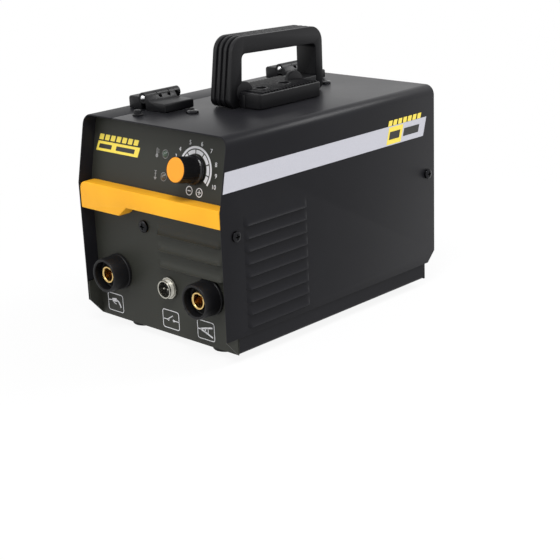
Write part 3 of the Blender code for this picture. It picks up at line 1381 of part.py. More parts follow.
# ---------------------------------------------------------------- rear fittings
def make_power_switch(finishes):
    """Rocker switch: a bezel and body through the rear panel, and the rocker that tilts in its pocket."""
    seat = REAR_PANEL_Y + GAP
    half_w = SWITCH_WIDTH / 2
    half_t = SWITCH_TALL / 2
    bezel = block(
        (SWITCH_X - half_w, seat, SWITCH_HEIGHT - half_t),
        (SWITCH_X + half_w, seat + SWITCH_BEZEL, SWITCH_HEIGHT + half_t),
    )
    frame = part("power_switch_frame", bezel, finishes["moulding"])
    body_w = half_w - SWITCH_BODY_INSET
    body_t = half_t - SWITCH_BODY_INSET
    body = block(
        (SWITCH_X - body_w, seat - SWITCH_BODY, SWITCH_HEIGHT - body_t),
        (SWITCH_X + body_w, seat + SWITCH_BEZEL / 2, SWITCH_HEIGHT + body_t),
    )
    add(frame, body)
    pocket_w = ROCKER_WIDTH / 2 + GAP
    pocket_t = ROCKER_TALL / 2 + 2 * GAP
    front = seat + SWITCH_BEZEL
    pocket = block(
        (SWITCH_X - pocket_w, front - ROCKER_POCKET, SWITCH_HEIGHT - pocket_t),
        (SWITCH_X + pocket_w, front + TOOL_MARGIN, SWITCH_HEIGHT + pocket_t),
    )
    cut(frame, pocket)

    axis_y = front - ROCKER_AXIS_DEPTH
    origin = (SWITCH_X, axis_y, SWITCH_HEIGHT)
    tall = ROCKER_TALL / 2
    outline = [
        (ROCKER_HEEL[0], -ROCKER_HEEL[1]),
        (ROCKER_SHOULDER, -tall),
        (ROCKER_TIP[0], -ROCKER_TIP[1]),
        (ROCKER_DIP, 0),
        ROCKER_TIP,
        (ROCKER_SHOULDER, tall),
        ROCKER_HEEL,
    ]
    solid = prism(outline, "YZ", -ROCKER_WIDTH / 2, ROCKER_WIDTH / 2)
    solid.transform(Matrix.Translation(origin) @ Matrix.Rotation(-ROCKER_THROW, 4, "X"))
    part("power_switch_rocker", solid, finishes["moulding"], origin)


def make_cable_gland(finishes):
    """Gland of the mains inlet, screwed through the rear panel, with its bore open right through."""
    at = (GLAND_X, REAR_PANEL_Y, GLAND_HEIGHT)
    profile = [
        (GLAND_BORE, -GLAND_TAIL),
        (GLAND_TAIL_RADIUS, -GLAND_TAIL),
        (GLAND_TAIL_RADIUS, GAP),
        (GLAND_RADIUS, GAP),
        (GLAND_RADIUS, GAP + GLAND_HEX),
        (GLAND_DOME_RADIUS, GAP + GLAND_HEX),
        (GLAND_DOME_RADIUS, GLAND_LENGTH - GLAND_NOSE),
        (GLAND_BORE + GLAND_LIP, GLAND_LENGTH),
        (GLAND_BORE, GLAND_LENGTH),
    ]
    part("cable_gland", turned(profile, 18, at, (0, 1, 0)), finishes["nylon"], smooth=True)


def make_door_latch(finishes):
    """Quarter-turn latch, shown unlocked: its cam lies level, and a turn drops it behind the tray flange."""
    origin = (-HALF_WIDTH, LATCH_Y, LATCH_HEIGHT)
    head = GAP / 2
    cam_near = HALF_WIDTH - INNER_HALF + SHEET + GAP
    cam_far = cam_near + LATCH_CAM_THICKNESS
    profile = [
        (0, -cam_far),
        (LATCH_SHAFT_RADIUS, -cam_far),
        (LATCH_SHAFT_RADIUS, head),
        (LATCH_RADIUS, head),
        (LATCH_RADIUS, head + SCREW_HEAD_HEIGHT - LATCH_EDGE),
        (LATCH_RADIUS - LATCH_EDGE, head + SCREW_HEAD_HEIGHT),
        (0, head + SCREW_HEAD_HEIGHT),
    ]
    latch = part(
        "door_latch", turned(profile, 20, origin, (-1, 0, 0)), finishes["moulding"], origin
    )
    half = LATCH_CAM_WIDTH / 2
    cam = block(
        (-HALF_WIDTH + cam_near, LATCH_Y - half, LATCH_HEIGHT - half),
        (-HALF_WIDTH + cam_far, LATCH_Y - half + LATCH_CAM_LENGTH, LATCH_HEIGHT + half),
    )
    add(latch, cam)


# ---------------------------------------------------------------- inverter
def make_circuit_board(finishes):
    low = (BOARD_LEFT, BOARD_FRONT, BOARD_HEIGHT)
    high = (BOARD_RIGHT, BOARD_FRONT + BOARD_LENGTH, BOARD_HEIGHT + BOARD_THICKNESS)
    part("circuit_board", block(low, high), finishes["board"])


def make_heatsink(name, left, front, finishes):
    """Extruded comb with its fins upright."""
    right = left + HEATSINK_WIDTH
    bottom = BOARD_TOP
    top = bottom + HEATSINK_TALL
    pitch = (HEATSINK_WIDTH - HEATSINK_FIN) / (HEATSINK_FINS - 1)
    outline = [(left, bottom), (right, bottom)]
    for i in reversed(range(HEATSINK_FINS)):
        fin = left + i * pitch
        outline += [(fin + HEATSINK_FIN, top), (fin, top)]
        if i > 0:
            root = bottom + HEATSINK_BASE
            outline += [(fin, root), (fin - pitch + HEATSINK_FIN, root)]
    part(name, prism(outline, "XZ", front, front + HEATSINK_LENGTH), finishes["aluminium"])


def make_inverter(finishes):
    make_circuit_board(finishes)
    rear_row = BOARD_FRONT + BOARD_LENGTH - HEATSINK_LENGTH - BOARD_MARGIN
    make_heatsink("heatsink_left", BOARD_LEFT + BOARD_MARGIN, rear_row, finishes)
    right_x = BOARD_RIGHT - BOARD_MARGIN - HEATSINK_WIDTH
    make_heatsink("heatsink_right", right_x, rear_row, finishes)
    size = TRANSFORMER
    low = Vector((BOARD_RIGHT - BOARD_MARGIN - size[0], rear_row - BOARD_MARGIN - size[1], BOARD_TOP))
    part("main_transformer", block(low, low + Vector(size)), finishes["ferrite"])
    reactor_y = BOARD_FRONT + BOARD_MARGIN + REACTOR_RADIUS
    reactor_x = BOARD_RIGHT - BOARD_MARGIN - REACTOR_RADIUS
    at = (reactor_x, reactor_y, BOARD_TOP)
    reactor = tube(REACTOR_BORE, REACTOR_RADIUS, at, (0, 0, 1), REACTOR_HEIGHT)
    part("output_reactor", reactor, finishes["copper"], smooth=True)
    at = (
        BOARD_LEFT + BOARD_MARGIN + CAPACITOR_RADIUS,
        rear_row - BOARD_MARGIN - CAPACITOR_RADIUS,
        BOARD_TOP,
    )
    capacitor = rod(CAPACITOR_RADIUS, at, (0, 0, 1), CAPACITOR_HEIGHT)
    part("main_capacitor", capacitor, finishes["sleeve"], smooth=True)


# ---------------------------------------------------------------- assembly
def clear_scene():
    for thing in list(bpy.data.objects):
        bpy.data.objects.remove(thing)


def build_machine():
    finishes = make_finishes()
    make_base_tray(finishes)
    make_feet(finishes)
    make_front_panel(finishes)
    make_rear_panel(finishes)
    make_centre_partition(finishes)
    make_top_side_cover(finishes)
    make_side_door(finishes)
    make_front_trim(finishes)
    make_screws(finishes)
    make_handle(finishes)
    make_handle_base(finishes)
    for end, start in HINGE_ENDS.items():
        make_hinge(end, start, finishes)
    make_welding_socket("torch", TORCH_SOCKET_X, finishes)
    make_welding_socket("clamp", CLAMP_SOCKET_X, finishes)
    make_trigger_socket(finishes)
    make_knob(finishes)
    make_potentiometer(finishes)
    make_lamps(finishes)
    make_feed_motor(finishes)
    make_feed_plate(finishes)
    make_drive_roll(finishes)
    make_pressure_arm(finishes)
    make_pressure_roll(finishes)
    make_tension_screw(finishes)
    make_guides(finishes)
    make_spindle(finishes)
    make_spool(finishes)
    make_fan(finishes)
    make_power_switch(finishes)
    make_cable_gland(finishes)
    make_door_latch(finishes)
    make_inverter(finishes)


clear_scene()
build_machine()
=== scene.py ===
"""Looks of the MIG welding machine: its visible pieces and finishes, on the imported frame.

Metres, +Z up, the front panel faces -Y and the door of the wire compartment is on -X.
"""

import json
import math

import bmesh
import bpy
from mathutils import Matrix, Vector

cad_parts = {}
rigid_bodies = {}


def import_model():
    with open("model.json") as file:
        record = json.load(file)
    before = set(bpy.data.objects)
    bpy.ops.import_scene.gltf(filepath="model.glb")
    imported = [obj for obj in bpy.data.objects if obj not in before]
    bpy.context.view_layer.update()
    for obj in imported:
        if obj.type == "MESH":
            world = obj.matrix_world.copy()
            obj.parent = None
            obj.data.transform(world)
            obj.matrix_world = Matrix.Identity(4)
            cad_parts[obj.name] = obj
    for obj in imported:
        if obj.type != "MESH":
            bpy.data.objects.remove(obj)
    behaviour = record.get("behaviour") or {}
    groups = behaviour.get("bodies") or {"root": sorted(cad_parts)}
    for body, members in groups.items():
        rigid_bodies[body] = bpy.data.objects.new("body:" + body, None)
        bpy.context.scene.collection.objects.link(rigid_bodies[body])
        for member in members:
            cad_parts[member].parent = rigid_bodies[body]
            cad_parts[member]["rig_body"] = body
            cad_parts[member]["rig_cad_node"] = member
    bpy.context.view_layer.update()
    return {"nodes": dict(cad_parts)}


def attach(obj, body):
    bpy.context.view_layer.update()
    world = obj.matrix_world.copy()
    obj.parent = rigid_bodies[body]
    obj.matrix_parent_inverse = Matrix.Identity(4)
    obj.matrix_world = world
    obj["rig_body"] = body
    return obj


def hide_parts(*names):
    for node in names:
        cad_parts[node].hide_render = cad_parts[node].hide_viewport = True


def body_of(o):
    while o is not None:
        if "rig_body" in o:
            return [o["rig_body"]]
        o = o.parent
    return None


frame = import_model()

MM = 0.001


def mm(*values):
    return tuple(value * MM for value in values)


SHEET = 1.2 * MM
GAP = 0.3 * MM
INK = 0.06 * MM  # thickness of a printed mark

CASE_TOP = 190 * MM
HALF_WIDTH = 89 * MM
FRONT_Y = -138 * MM
REAR_Y = 138 * MM
PANEL_Y = -124.5 * MM
REAR_PANEL_Y = 124.5 * MM
NOSE = 131 * MM
LEAN = math.radians(11.5)
WALL_BOTTOM = 22.5 * MM
INNER_HALF = 87.5 * MM
SEAM_X = -51 * MM

KNOB_X, KNOB_Z = mm(42.5, 156.5)
LAMP_X = 5.5 * MM
LAMP_HEIGHTS = {"upper": 164.5 * MM, "lower": 146 * MM}
SOCKET_X, SOCKET_Z = mm(57.5, 52.5)
TRIGGER_X, TRIGGER_Z = mm(7.5, 50)
FAN_X, FAN_Z, FAN_SCREW_REACH = mm(41.5, 108, 35.75)
WALL_SCREWS = {"front": -122.5 * MM, "rear": 127.5 * MM}
BASE_SCREWS = {"front": mm(18, -15, 199.3), "rear": mm(18, 14, 199.3)}
SIDE_LOUVRE_TOPS = [(125 - 10.8 * i) * MM for i in range(9)]
SIDE_LOUVRE_MIDDLE = -76 * MM
SIDE_LOUVRE = {"length": 75 * MM, "height": 9.6 * MM, "depth": 2.5 * MM, "end": 3.5 * MM}
PANEL_LOUVRE_TOPS = [(105.5 - 14.2 * i) * MM for i in range(3)]
PANEL_LOUVRE_MIDDLE = 35.8 * MM
PANEL_LOUVRE = {"length": 79.6 * MM, "height": 8.6 * MM, "depth": 4.2 * MM, "end": 5 * MM}

X, Y, Z = Vector((1, 0, 0)), Vector((0, 1, 0)), Vector((0, 0, 1))
FACE_UP = Vector((0, math.sin(LEAN), math.cos(LEAN)))
FACE_OUT = Vector((0, -math.cos(LEAN), math.sin(LEAN)))


# ---------------------------------------------------------------- modelling by hand
def deselect():
    bpy.ops.object.select_all(action="DESELECT")


def alone(thing):
    """Selects one object and makes it the active one."""
    deselect()
    thing.select_set(True)
    bpy.context.view_layer.objects.active = thing


def named(name):
    thing = bpy.context.object
    thing.name = name
    thing.data.name = name
    return thing


def edit(thing):
    alone(thing)
    bpy.ops.object.mode_set(mode="EDIT")
    bpy.ops.mesh.select_all(action="SELECT")


def leave():
    bpy.ops.object.mode_set(mode="OBJECT")


def outward(thing):
    """Merges doubles and turns every face outwards."""
    edit(thing)
    bpy.ops.mesh.remove_doubles(threshold=0.001 * MM)
    bpy.ops.mesh.select_all(action="SELECT")
    bpy.ops.mesh.normals_make_consistent(inside=False)
    leave()


def settle(thing):
    """Moves the object's place and turn into its mesh."""
    alone(thing)
    bpy.ops.object.transform_apply(location=True, rotation=True, scale=True)
    return thing


def place(thing, along, up, out, at):
    """Stands a piece made flat, with X along it, Y up it and Z out of it, where it belongs."""
    turn = Matrix((along, up, out)).transposed().to_4x4()
    thing.matrix_world = Matrix.Translation(at) @ turn
    return settle(thing)


def point_to(thing, towards, at):
    """Stands a piece that was made along +Z on a point, along a direction."""
    turn = Vector(towards).to_track_quat("Z", "Y").to_matrix().to_4x4()
    thing.matrix_world = Matrix.Translation(at) @ turn
    return settle(thing)


def draw(name, points, fill=True):
    """An outline drawn by extruding one vertex from point to point, filled with one face."""
    deselect()
    bpy.ops.mesh.primitive_plane_add(size=MM, location=points[0])
    thing = named(name)
    bpy.ops.object.mode_set(mode="EDIT")
    bpy.ops.mesh.select_mode(type="VERT")
    bpy.ops.mesh.select_all(action="SELECT")
    bpy.ops.mesh.merge(type="CENTER")
    for last, point in zip(points, points[1:]):
        step = Vector(point) - Vector(last)
        bpy.ops.mesh.extrude_region_move(TRANSFORM_OT_translate={"value": step})
    bpy.ops.mesh.select_all(action="SELECT")
    if fill:
        bpy.ops.mesh.edge_face_add()
    leave()
    return settle(thing)


def pull(thing, shift):
    """Extrudes all of an outline or a line along a direction."""
    edit(thing)
    bpy.ops.mesh.extrude_region_move(TRANSFORM_OT_translate={"value": shift})
    leave()
    return thing


PLANES = {
    "YZ": (lambda a, b, c: (c, a, b), X),
    "XZ": (lambda a, b, c: (a, c, b), Y),
    "XY": (lambda a, b, c: (a, b, c), Z),
}


def prism(name, outline, plane, low, high):
    put, axis = PLANES[plane]
    thing = draw(name, [put(a, b, low) for a, b in outline])
    pull(thing, axis * (high - low))
    outward(thing)
    return thing


def block(name, low, high):
    """A cube put between two corners."""
    low, high = Vector(low), Vector(high)
    deselect()
    bpy.ops.mesh.primitive_cube_add(size=1, location=(low + high) / 2)
    thing = named(name)
    thing.scale = high - low
    return settle(thing)


def lathe(name, profile, steps, at=(0, 0, 0), towards=(0, 0, 1)):
    """A line of (radius, height) points spun round its axis; off the axis it is a closed ring."""
    line = [(radius, 0, height) for radius, height in profile]
    if profile[0][0] > 0:
        line.append(line[0])
    thing = draw(name, line, fill=False)
    edit(thing)
    bpy.ops.mesh.spin(steps=steps, angle=math.tau, center=(0, 0, 0), axis=(0, 0, 1))
    leave()
    outward(thing)
    return point_to(thing, towards, at)


def turned(name, profile, steps, at=(0, 0, 0), towards=(0, 0, 1)):
    """A lathe piece whose profile is written in millimetres."""
    return lathe(name, [(radius * MM, z * MM) for radius, z in profile], steps, at, towards)


def flute(thing, count, depth, radius, low, high, axis=(0, 0), square=False):
    """Presses flutes into the outside of a turned piece that stands on its end."""
    for vertex in thing.data.vertices:
        arm = Vector((vertex.co.x - axis[0], vertex.co.y - axis[1], 0))
        if arm.length > radius and low < vertex.co.z < high:
            wave = math.cos(count * math.atan2(arm.y, arm.x))
            vertex.co -= arm * depth * (wave > 0 if square else 0.5 + 0.5 * wave)


def rod(name, radius, at, towards, length, steps=24):
    return lathe(name, [(0, 0), (radius, 0), (radius, length), (0, length)], steps, at, towards)


def apply_modifier(thing, kind, **settings):
    alone(thing)
    bpy.ops.object.modifier_add(type=kind)
    modifier = thing.modifiers[-1]
    for key, value in settings.items():
        setattr(modifier, key, value)
    bpy.ops.object.modifier_apply(modifier=modifier.name)
    return thing


def soften(thing, width, segments=2, angle=32):
    """Rounds every edge that is sharper than the angle."""
    return apply_modifier(
        thing,
        "BEVEL",
        width=width,
        segments=segments,
        limit_method="ANGLE",
        angle_limit=math.radians(angle),
        use_clamp_overlap=True,
    )


def join(name, things):
    deselect()
    for thing in things:
        thing.select_set(True)
    bpy.context.view_layer.objects.active = things[0]
    if len(things) > 1:
        bpy.ops.object.join()
    return named(name)


def combine(thing, operation, *tools):
    """Cuts, adds or keeps the shape of other pieces, which are then gone."""
    tool = join("tool", list(tools))
    apply_modifier(thing, "BOOLEAN", operation=operation, object=tool, solver="EXACT")
    bpy.data.objects.remove(tool)
    return thing


def cut(thing, *tools):
    return combine(thing, "DIFFERENCE", *tools)


def add(thing, *tools):
    return combine(thing, "UNION", *tools)


def copy_piece(thing, name):
    alone(thing)
    bpy.ops.object.duplicate()
    return named(name)


def bisect(thing, at, normal):
    """Cuts away what lies on the normal's side of a plane."""
    edit(thing)
    bpy.ops.mesh.bisect(plane_co=at, plane_no=normal, use_fill=True, clear_outer=True)
    leave()
    return thing


def round_corners(path, radii, steps=6, closed=True):
    """The path with an arc at each corner; a radius of 0 keeps the corner."""
    if isinstance(radii, (int, float)):
        radii = [radii] * len(path)
    points = []
    for i, corner in enumerate(path):
        is_end = not closed and i in (0, len(path) - 1)
        if is_end or radii[i] == 0:
            points.append(tuple(corner))
            continue
        here = Vector(corner)
        to_last = (Vector(path[i - 1]) - here).normalized()
        to_next = (Vector(path[(i + 1) % len(path)]) - here).normalized()
        half = to_last.angle(to_next) / 2
        centre = here + (to_last + to_next).normalized() * radii[i] / math.sin(half)
        first = here + to_last * radii[i] / math.tan(half) - centre
        last = here + to_next * radii[i] / math.tan(half) - centre
        turn = math.pi - 2 * half
        for step in range(steps + 1):
            share = step / steps
            arm = first * math.sin((1 - share) * turn) + last * math.sin(share * turn)
            points.append(tuple(centre + arm / math.sin(turn)))
    return points


def rectangle(low_a, low_b, high_a, high_b):
    return [(low_a, low_b), (high_a, low_b), (high_a, high_b), (low_a, high_b)]


def coat(piece, paint):
    piece.data.materials.clear()
    piece.data.materials.append(paint)


def finish(piece, body, paint, slot, *nodes, angle=35):
    """Shades and coats a piece, and lets it ride on its body in place of its CAD nodes."""
    alone(piece)
    bpy.ops.object.shade_smooth_by_angle(angle=math.radians(angle))
    coat(piece, paint)
    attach(piece, body)
    if nodes:
        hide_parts(*nodes)


def copy_of_node(node, name):
    """A merged copy of a CAD node, with its flat faces in one piece."""
    alone(frame["nodes"][node])
    bpy.ops.object.duplicate()
    piece = named(name)
    piece.parent = None
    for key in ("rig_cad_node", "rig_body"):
        del piece[key]
    edit(piece)
    bpy.ops.mesh.remove_doubles(threshold=0.002 * MM)
    bpy.ops.mesh.select_all(action="SELECT")
    bpy.ops.mesh.dissolve_limited(angle_limit=math.radians(1))
    leave()
    return piece


def softened_node(node, name, width, paint, slot):
    """The CAD node itself, with rounded edges."""
    piece = copy_of_node(node, name)
    soften(piece, width)
    body = body_of(frame["nodes"][node])[0]
    finish(piece, body, paint, slot, node)


# ---------------------------------------------------------------- finishes
def arithmetic(operation, reflected=False):
    """An operator of Amount, which adds a Math node. A reflected one swaps its values."""

    def apply(self, *others):
        values = (*others, self) if reflected else (self, *others)
        return self.nodes.node("ShaderNodeMath", {"operation": operation}, *values)

    return apply


class Amount:
    """A number that varies over a surface."""

    def __init__(self, nodes, socket):
        self.nodes = nodes
        self.socket = socket

    __add__, __radd__ = arithmetic("ADD"), arithmetic("ADD", True)
    __sub__, __rsub__ = arithmetic("SUBTRACT"), arithmetic("SUBTRACT", True)
    __mul__, __rmul__ = arithmetic("MULTIPLY"), arithmetic("MULTIPLY", True)
    __truediv__ = arithmetic("DIVIDE")
    __gt__, __lt__ = arithmetic("GREATER_THAN"), arithmetic("LESS_THAN")
    larger, angle_over = arithmetic("MAXIMUM"), arithmetic("ARCTAN2")
    sine, root, fraction = arithmetic("SINE"), arithmetic("SQRT"), arithmetic("FRACT")

    def limited(self):
        settings = {"operation": "ADD", "use_clamp": True}
        return self.nodes.node("ShaderNodeMath", settings, self, 0.0)


class Nodes:
    """A node tree, to which nodes are added."""

    def __init__(self, tree):
        self.tree = tree

    def node(self, kind, settings, *values, output=0, **inputs):
        """Adds a node, sets it up, links or sets its sockets, and gives back one output."""
        made = self.tree.nodes.new(kind)
        for key, value in settings.items():
            setattr(made, key, value)
        for key, value in [*enumerate(values), *inputs.items()]:
            socket = made.inputs[key if isinstance(key, int) else key.replace("_", " ")]
            if isinstance(value, Amount):
                self.tree.links.new(value.socket, socket)
            else:
                socket.default_value = value
        return Amount(self, made.outputs[output])

    def place(self):
        return self.node("ShaderNodeTexCoord", {}, output="Object")


class Paint(Nodes):
    """A material with one Principled shader, and the nodes that vary it."""

    def __init__(self, name, colour, roughness, metallic=0.0, **constants):
        self.material = bpy.data.materials.new(name)
        self.material.use_nodes = True
        super().__init__(self.material.node_tree)
        self.shader = self.tree.nodes["Principled BSDF"]
        self.shader.inputs["Base Color"].default_value = (*colour, 1.0)
        self.shader.inputs["Roughness"].default_value = roughness
        self.shader.inputs["Metallic"].default_value = metallic
        for key, value in constants.items():
            self.shader.inputs[key.replace("_", " ")].default_value = value
        self.colour = colour

    def axes(self, centre=(0, 0, 0)):
        """X, Y and Z of a point on the surface, from a centre."""
        moved = self.node("ShaderNodeMapping", {}, self.place(), tuple(-Vector(centre)))
        split = self.node("ShaderNodeSeparateXYZ", {}, moved)
        outputs = split.socket.node.outputs
        return [Amount(self, outputs[i]) for i in range(3)]

    def noise(self, scale, detail=3.0, rough=0.5, stretch=(1, 1, 1)):
        moved = self.node("ShaderNodeMapping", {}, self.place(), Scale=stretch)
        return self.node(
            "ShaderNodeTexNoise", {}, moved, Scale=scale, Detail=detail, Roughness=rough
        )

    def cells(self, scale, output="Distance"):
        return self.node("ShaderNodeTexVoronoi", {}, self.place(), Scale=scale, output=output)

    def mixed(self, factor, first, second):
        """The first colour, turning into the second as the factor goes to 1."""
        made = self.tree.nodes.new("ShaderNodeMix")
        made.data_type = "RGBA"
        for index, value in ((0, factor), (6, first), (7, second)):
            if isinstance(value, Amount):
                self.tree.links.new(value.socket, made.inputs[index])
            else:
                made.inputs[index].default_value = value if index == 0 else (*value, 1.0)
        return Amount(self, made.outputs[2])

    def to(self, socket, value):
        self.tree.links.new(value.socket, self.shader.inputs[socket])

    def tone(self, factor, low, high):
        """The paint's own colour, between two levels of brightness."""
        self.to("Base Color", self.mixed(factor, shade(self.colour, low), shade(self.colour, high)))

    def bump(self, height, distance):
        made = self.node("ShaderNodeBump", {}, Strength=1.0, Distance=distance, Height=height)
        self.to("Normal", made)


def shade(colour, factor):
    return tuple(min(1.0, c * factor) for c in colour)


def powder_coat(name, colour, roughness=0.46, level=0.3):
    """Fine orange peel, slightly uneven gloss, and a trace of dust."""
    paint = Paint(name, colour, roughness, Specular_IOR_Level=level)
    peel = paint.noise(850, 2.0)
    grain = paint.noise(2600, 2.0)
    cloud = paint.noise(14, 4.0)
    paint.tone(((cloud - 0.5) * 1.4 + 0.5).limited(), 0.86, 1.18)
    paint.to("Roughness", roughness + (cloud - 0.5) * 0.12 + (grain - 0.5) * 0.10)
    paint.bump(peel * 0.65 + grain * 0.35, 0.03 * MM)
    return paint.material


def moulded(name, colour, roughness=0.5, grain=1800, depth=0.03, level=0.35):
    """Moulded plastic with a spark-eroded grain and rubbed, glossier patches."""
    paint = Paint(name, colour, roughness, Specular_IOR_Level=level)
    fine = paint.noise(grain, 3.0, 0.6)
    cloud = paint.noise(22, 3.0)
    paint.tone(cloud, 0.85, 1.2)
    paint.to("Roughness", roughness + (cloud - 0.5) * 0.16 + (fine - 0.5) * 0.12)
    paint.bump(fine, depth * MM)
    return paint.material


def turned_metal(name, colour, roughness, centre, axis, pitch=0.25 * MM):
    """Bright turned metal, with fine tool rings round its axis."""
    paint = Paint(name, colour, roughness, 1.0)
    axes = paint.axes(centre)
    across = [a for i, a in enumerate(axes) if i != "XYZ".index(axis)]
    radius = (across[0] * across[0] + across[1] * across[1]).root()
    rings = (radius * (math.tau / pitch)).sine() * 0.5 + 0.5
    stain = paint.noise(160, 4.0)
    paint.tone(stain, 0.82, 1.1)
    paint.to("Roughness", roughness + (stain - 0.5) * 0.2 + rings * 0.05)
    paint.bump(rings, 0.006 * MM)
    return paint.material


def plated(name, colour, roughness, scale=220, bump=0.008):
    """Plated or blackened metal, slightly mottled."""
    paint = Paint(name, colour, roughness, 1.0)
    mottle = paint.noise(scale, 4.0, 0.6)
    fine = paint.noise(2400, 2.0)
    paint.tone(mottle, 0.78, 1.15)
    paint.to("Roughness", roughness + (mottle - 0.5) * 0.22)
    paint.bump(fine, bump * MM)
    return paint.material


def zinc_sheet(name):
    """Galvanised sheet with its spangle."""
    paint = Paint(name, (0.56, 0.57, 0.58), 0.38, 1.0)
    flake = paint.node("ShaderNodeSeparateColor", {}, paint.cells(260, output="Color"))
    streak = paint.noise(60, 3.0, stretch=(1, 0.08, 1))
    paint.tone(flake * 0.6 + streak * 0.4, 0.8, 1.14)
    paint.to("Roughness", 0.30 + flake * 0.14 + streak * 0.08)
    paint.bump(paint.noise(1500, 2.0), 0.01 * MM)
    return paint.material


def ink(name, colour, roughness=0.45):
    """Screen-printed ink, a little thin in places."""
    paint = Paint(name, colour, roughness, Specular_IOR_Level=0.3)
    thin = paint.noise(900, 3.0)
    paint.tone(thin, 0.88, 1.04)
    paint.to("Roughness", roughness + (thin - 0.5) * 0.1)
    return paint.material


def rubber(name):
    colour = (0.012, 0.012, 0.012)
    paint = Paint(name, colour, 0.8, Specular_IOR_Level=0.3)
    dust = paint.noise(90, 5.0, 0.65)
    paint.to("Base Color", paint.mixed((dust - 0.45) * 1.6, colour, (0.05, 0.048, 0.045)))
    paint.to("Roughness", 0.72 + dust * 0.2)
    paint.bump(paint.noise(1400, 3.0), 0.04 * MM)
    return paint.material


def lens(name, colour):
    """Smoky lamp lens, its tone and gloss a little cloudy."""
    paint = Paint(name, colour, 0.12, Specular_IOR_Level=0.5, Coat_Weight=0.4)
    cloud = paint.noise(500, 2.0)
    paint.tone(cloud, 0.7, 1.25)
    paint.to("Roughness", 0.10 + cloud * 0.10)
    return paint.material


def wound_wire(name, colour, centre, pitch=0.95 * MM):
    """Layers of round wire laid side by side along X: bumped ridges, with painted shade in the
    grooves between turns.
    """
    paint = Paint(name, colour, 0.3, 1.0)
    along, across, height = paint.axes(centre)
    angle = height.angle_over(across)
    lay = (along / pitch + angle / math.tau).fraction() - 0.5
    ridge_bump_and_groove_shade = (1 - lay * lay * 3.9).root()
    stain = paint.noise(130, 4.0, stretch=(3, 1, 1))
    # painted shade: the colour darkens in the grooves between the turns and is lightest on the
    # crests; the stain varies it at random
    paint.tone((ridge_bump_and_groove_shade * 0.8 + (stain - 0.5) * 0.5).limited(), 0.16, 1.1)
    paint.to("Roughness", 0.24 + stain * 0.2)
    paint.bump(ridge_bump_and_groove_shade, 0.45 * MM)
    return paint.material


def board_finish(name):
    """Green solder mask with paler tracks and tinned pads."""
    paint = Paint(name, (0.01, 0.09, 0.04), 0.35, Specular_IOR_Level=0.5)
    x, y, _ = paint.axes()
    along, across = (x * 330).fraction() < 0.22, (y * 210).fraction() < 0.14
    tracks = along.larger(across)
    patch = paint.noise(45, 2.0) > 0.52
    pads = paint.cells(240) < 0.16
    green = paint.mixed(tracks * patch, (0.008, 0.075, 0.03), (0.02, 0.16, 0.07))
    paint.to("Base Color", paint.mixed(pads, green, (0.55, 0.56, 0.55)))
    paint.to("Roughness", 0.42 - tracks * 0.1)
    paint.bump(tracks * patch + pads * 0.5, 0.05 * MM)
    return paint.material


def fibre(name, colour, roughness, scale):
    """Wound tape or paper sleeve, with lapped bands up its height."""
    paint = Paint(name, colour, roughness, Specular_IOR_Level=0.35)
    _, _, height = paint.axes()
    lap = (height * scale).fraction()
    cloud = paint.noise(70, 3.0)
    paint.tone(lap * 0.5 + cloud * 0.5, 0.7, 1.25)
    paint.to("Roughness", roughness + (cloud - 0.5) * 0.2)
    paint.bump(lap, 0.08 * MM)
    return paint.material


CASE = powder_coat("case_powder_coat", (0.011, 0.011, 0.013), 0.34, 0.09)
PANEL = powder_coat("panel_powder_coat", (0.027, 0.028, 0.023), 0.5, 0.2)
STRIPE = ink("stripe_vinyl", (0.53, 0.53, 0.58), 0.4)
TRIM = moulded("trim_orange_plastic", (0.96, 0.42, 0.022), 0.45, 1500, 0.012, 0.15)
CAP = moulded("cap_orange_plastic", (0.96, 0.33, 0.03), 0.5, 1500, 0.02, 0.15)
HANDLE = moulded("handle_black_plastic", (0.006, 0.006, 0.007), 0.40, 1500, 0.03, 0.2)
MOULDING = moulded("moulding_black", (0.006, 0.006, 0.007), 0.42, 2200, 0.015, 0.2)
NYLON = moulded("nylon_black", (0.02, 0.02, 0.022), 0.5, 1600, 0.02)
INSULATOR = moulded("insulator_black", (0.012, 0.012, 0.013), 0.55, 1600, 0.02)
RUBBER = rubber("foot_rubber")
BLACK_STEEL = plated("screw_black_steel", (0.022, 0.022, 0.024), 0.2)
STEEL = plated("pin_bright_steel", (0.82, 0.82, 0.83), 0.2)
NICKEL = plated("socket_nickel", (0.46, 0.45, 0.40), 0.3)
GLOSS = moulded("dial_black", (0.008, 0.008, 0.009), 0.22, 2200, 0.006)
LENS_GREEN = lens("lamp_green_lens", (0.03, 0.06, 0.035))
LENS_AMBER = lens("lamp_amber_lens", (0.07, 0.05, 0.03))
ZINC = zinc_sheet("zinc_spangle")
WHITE_INK = ink("white_ink", (0.72, 0.72, 0.74))
YELLOW_INK = ink("yellow_ink", (0.90, 0.72, 0.10))
GREY_INK = ink("grey_ink", (0.26, 0.26, 0.26))
DARK_INK = ink("dark_ink", (0.03, 0.03, 0.028))


# ---------------------------------------------------------------- camera, light and floor
CAMERA_AT = mm(813.8, -820.9, 406.6)
CAMERA_TURN = (44.14, 18.44, -2.38)  # yaw, pitch and roll in degrees
FOCAL_LENGTH, PHOTO_WIDTH = 1316.8, 560  # in pixels of the photograph
SENSOR_WIDTH = 36
WORLD_STRENGTH = 0.5
FLOOR_GLOW = 0.9
FLOOR_FADE = (0.20, 0.55)  # distances from the machine's middle, in metres


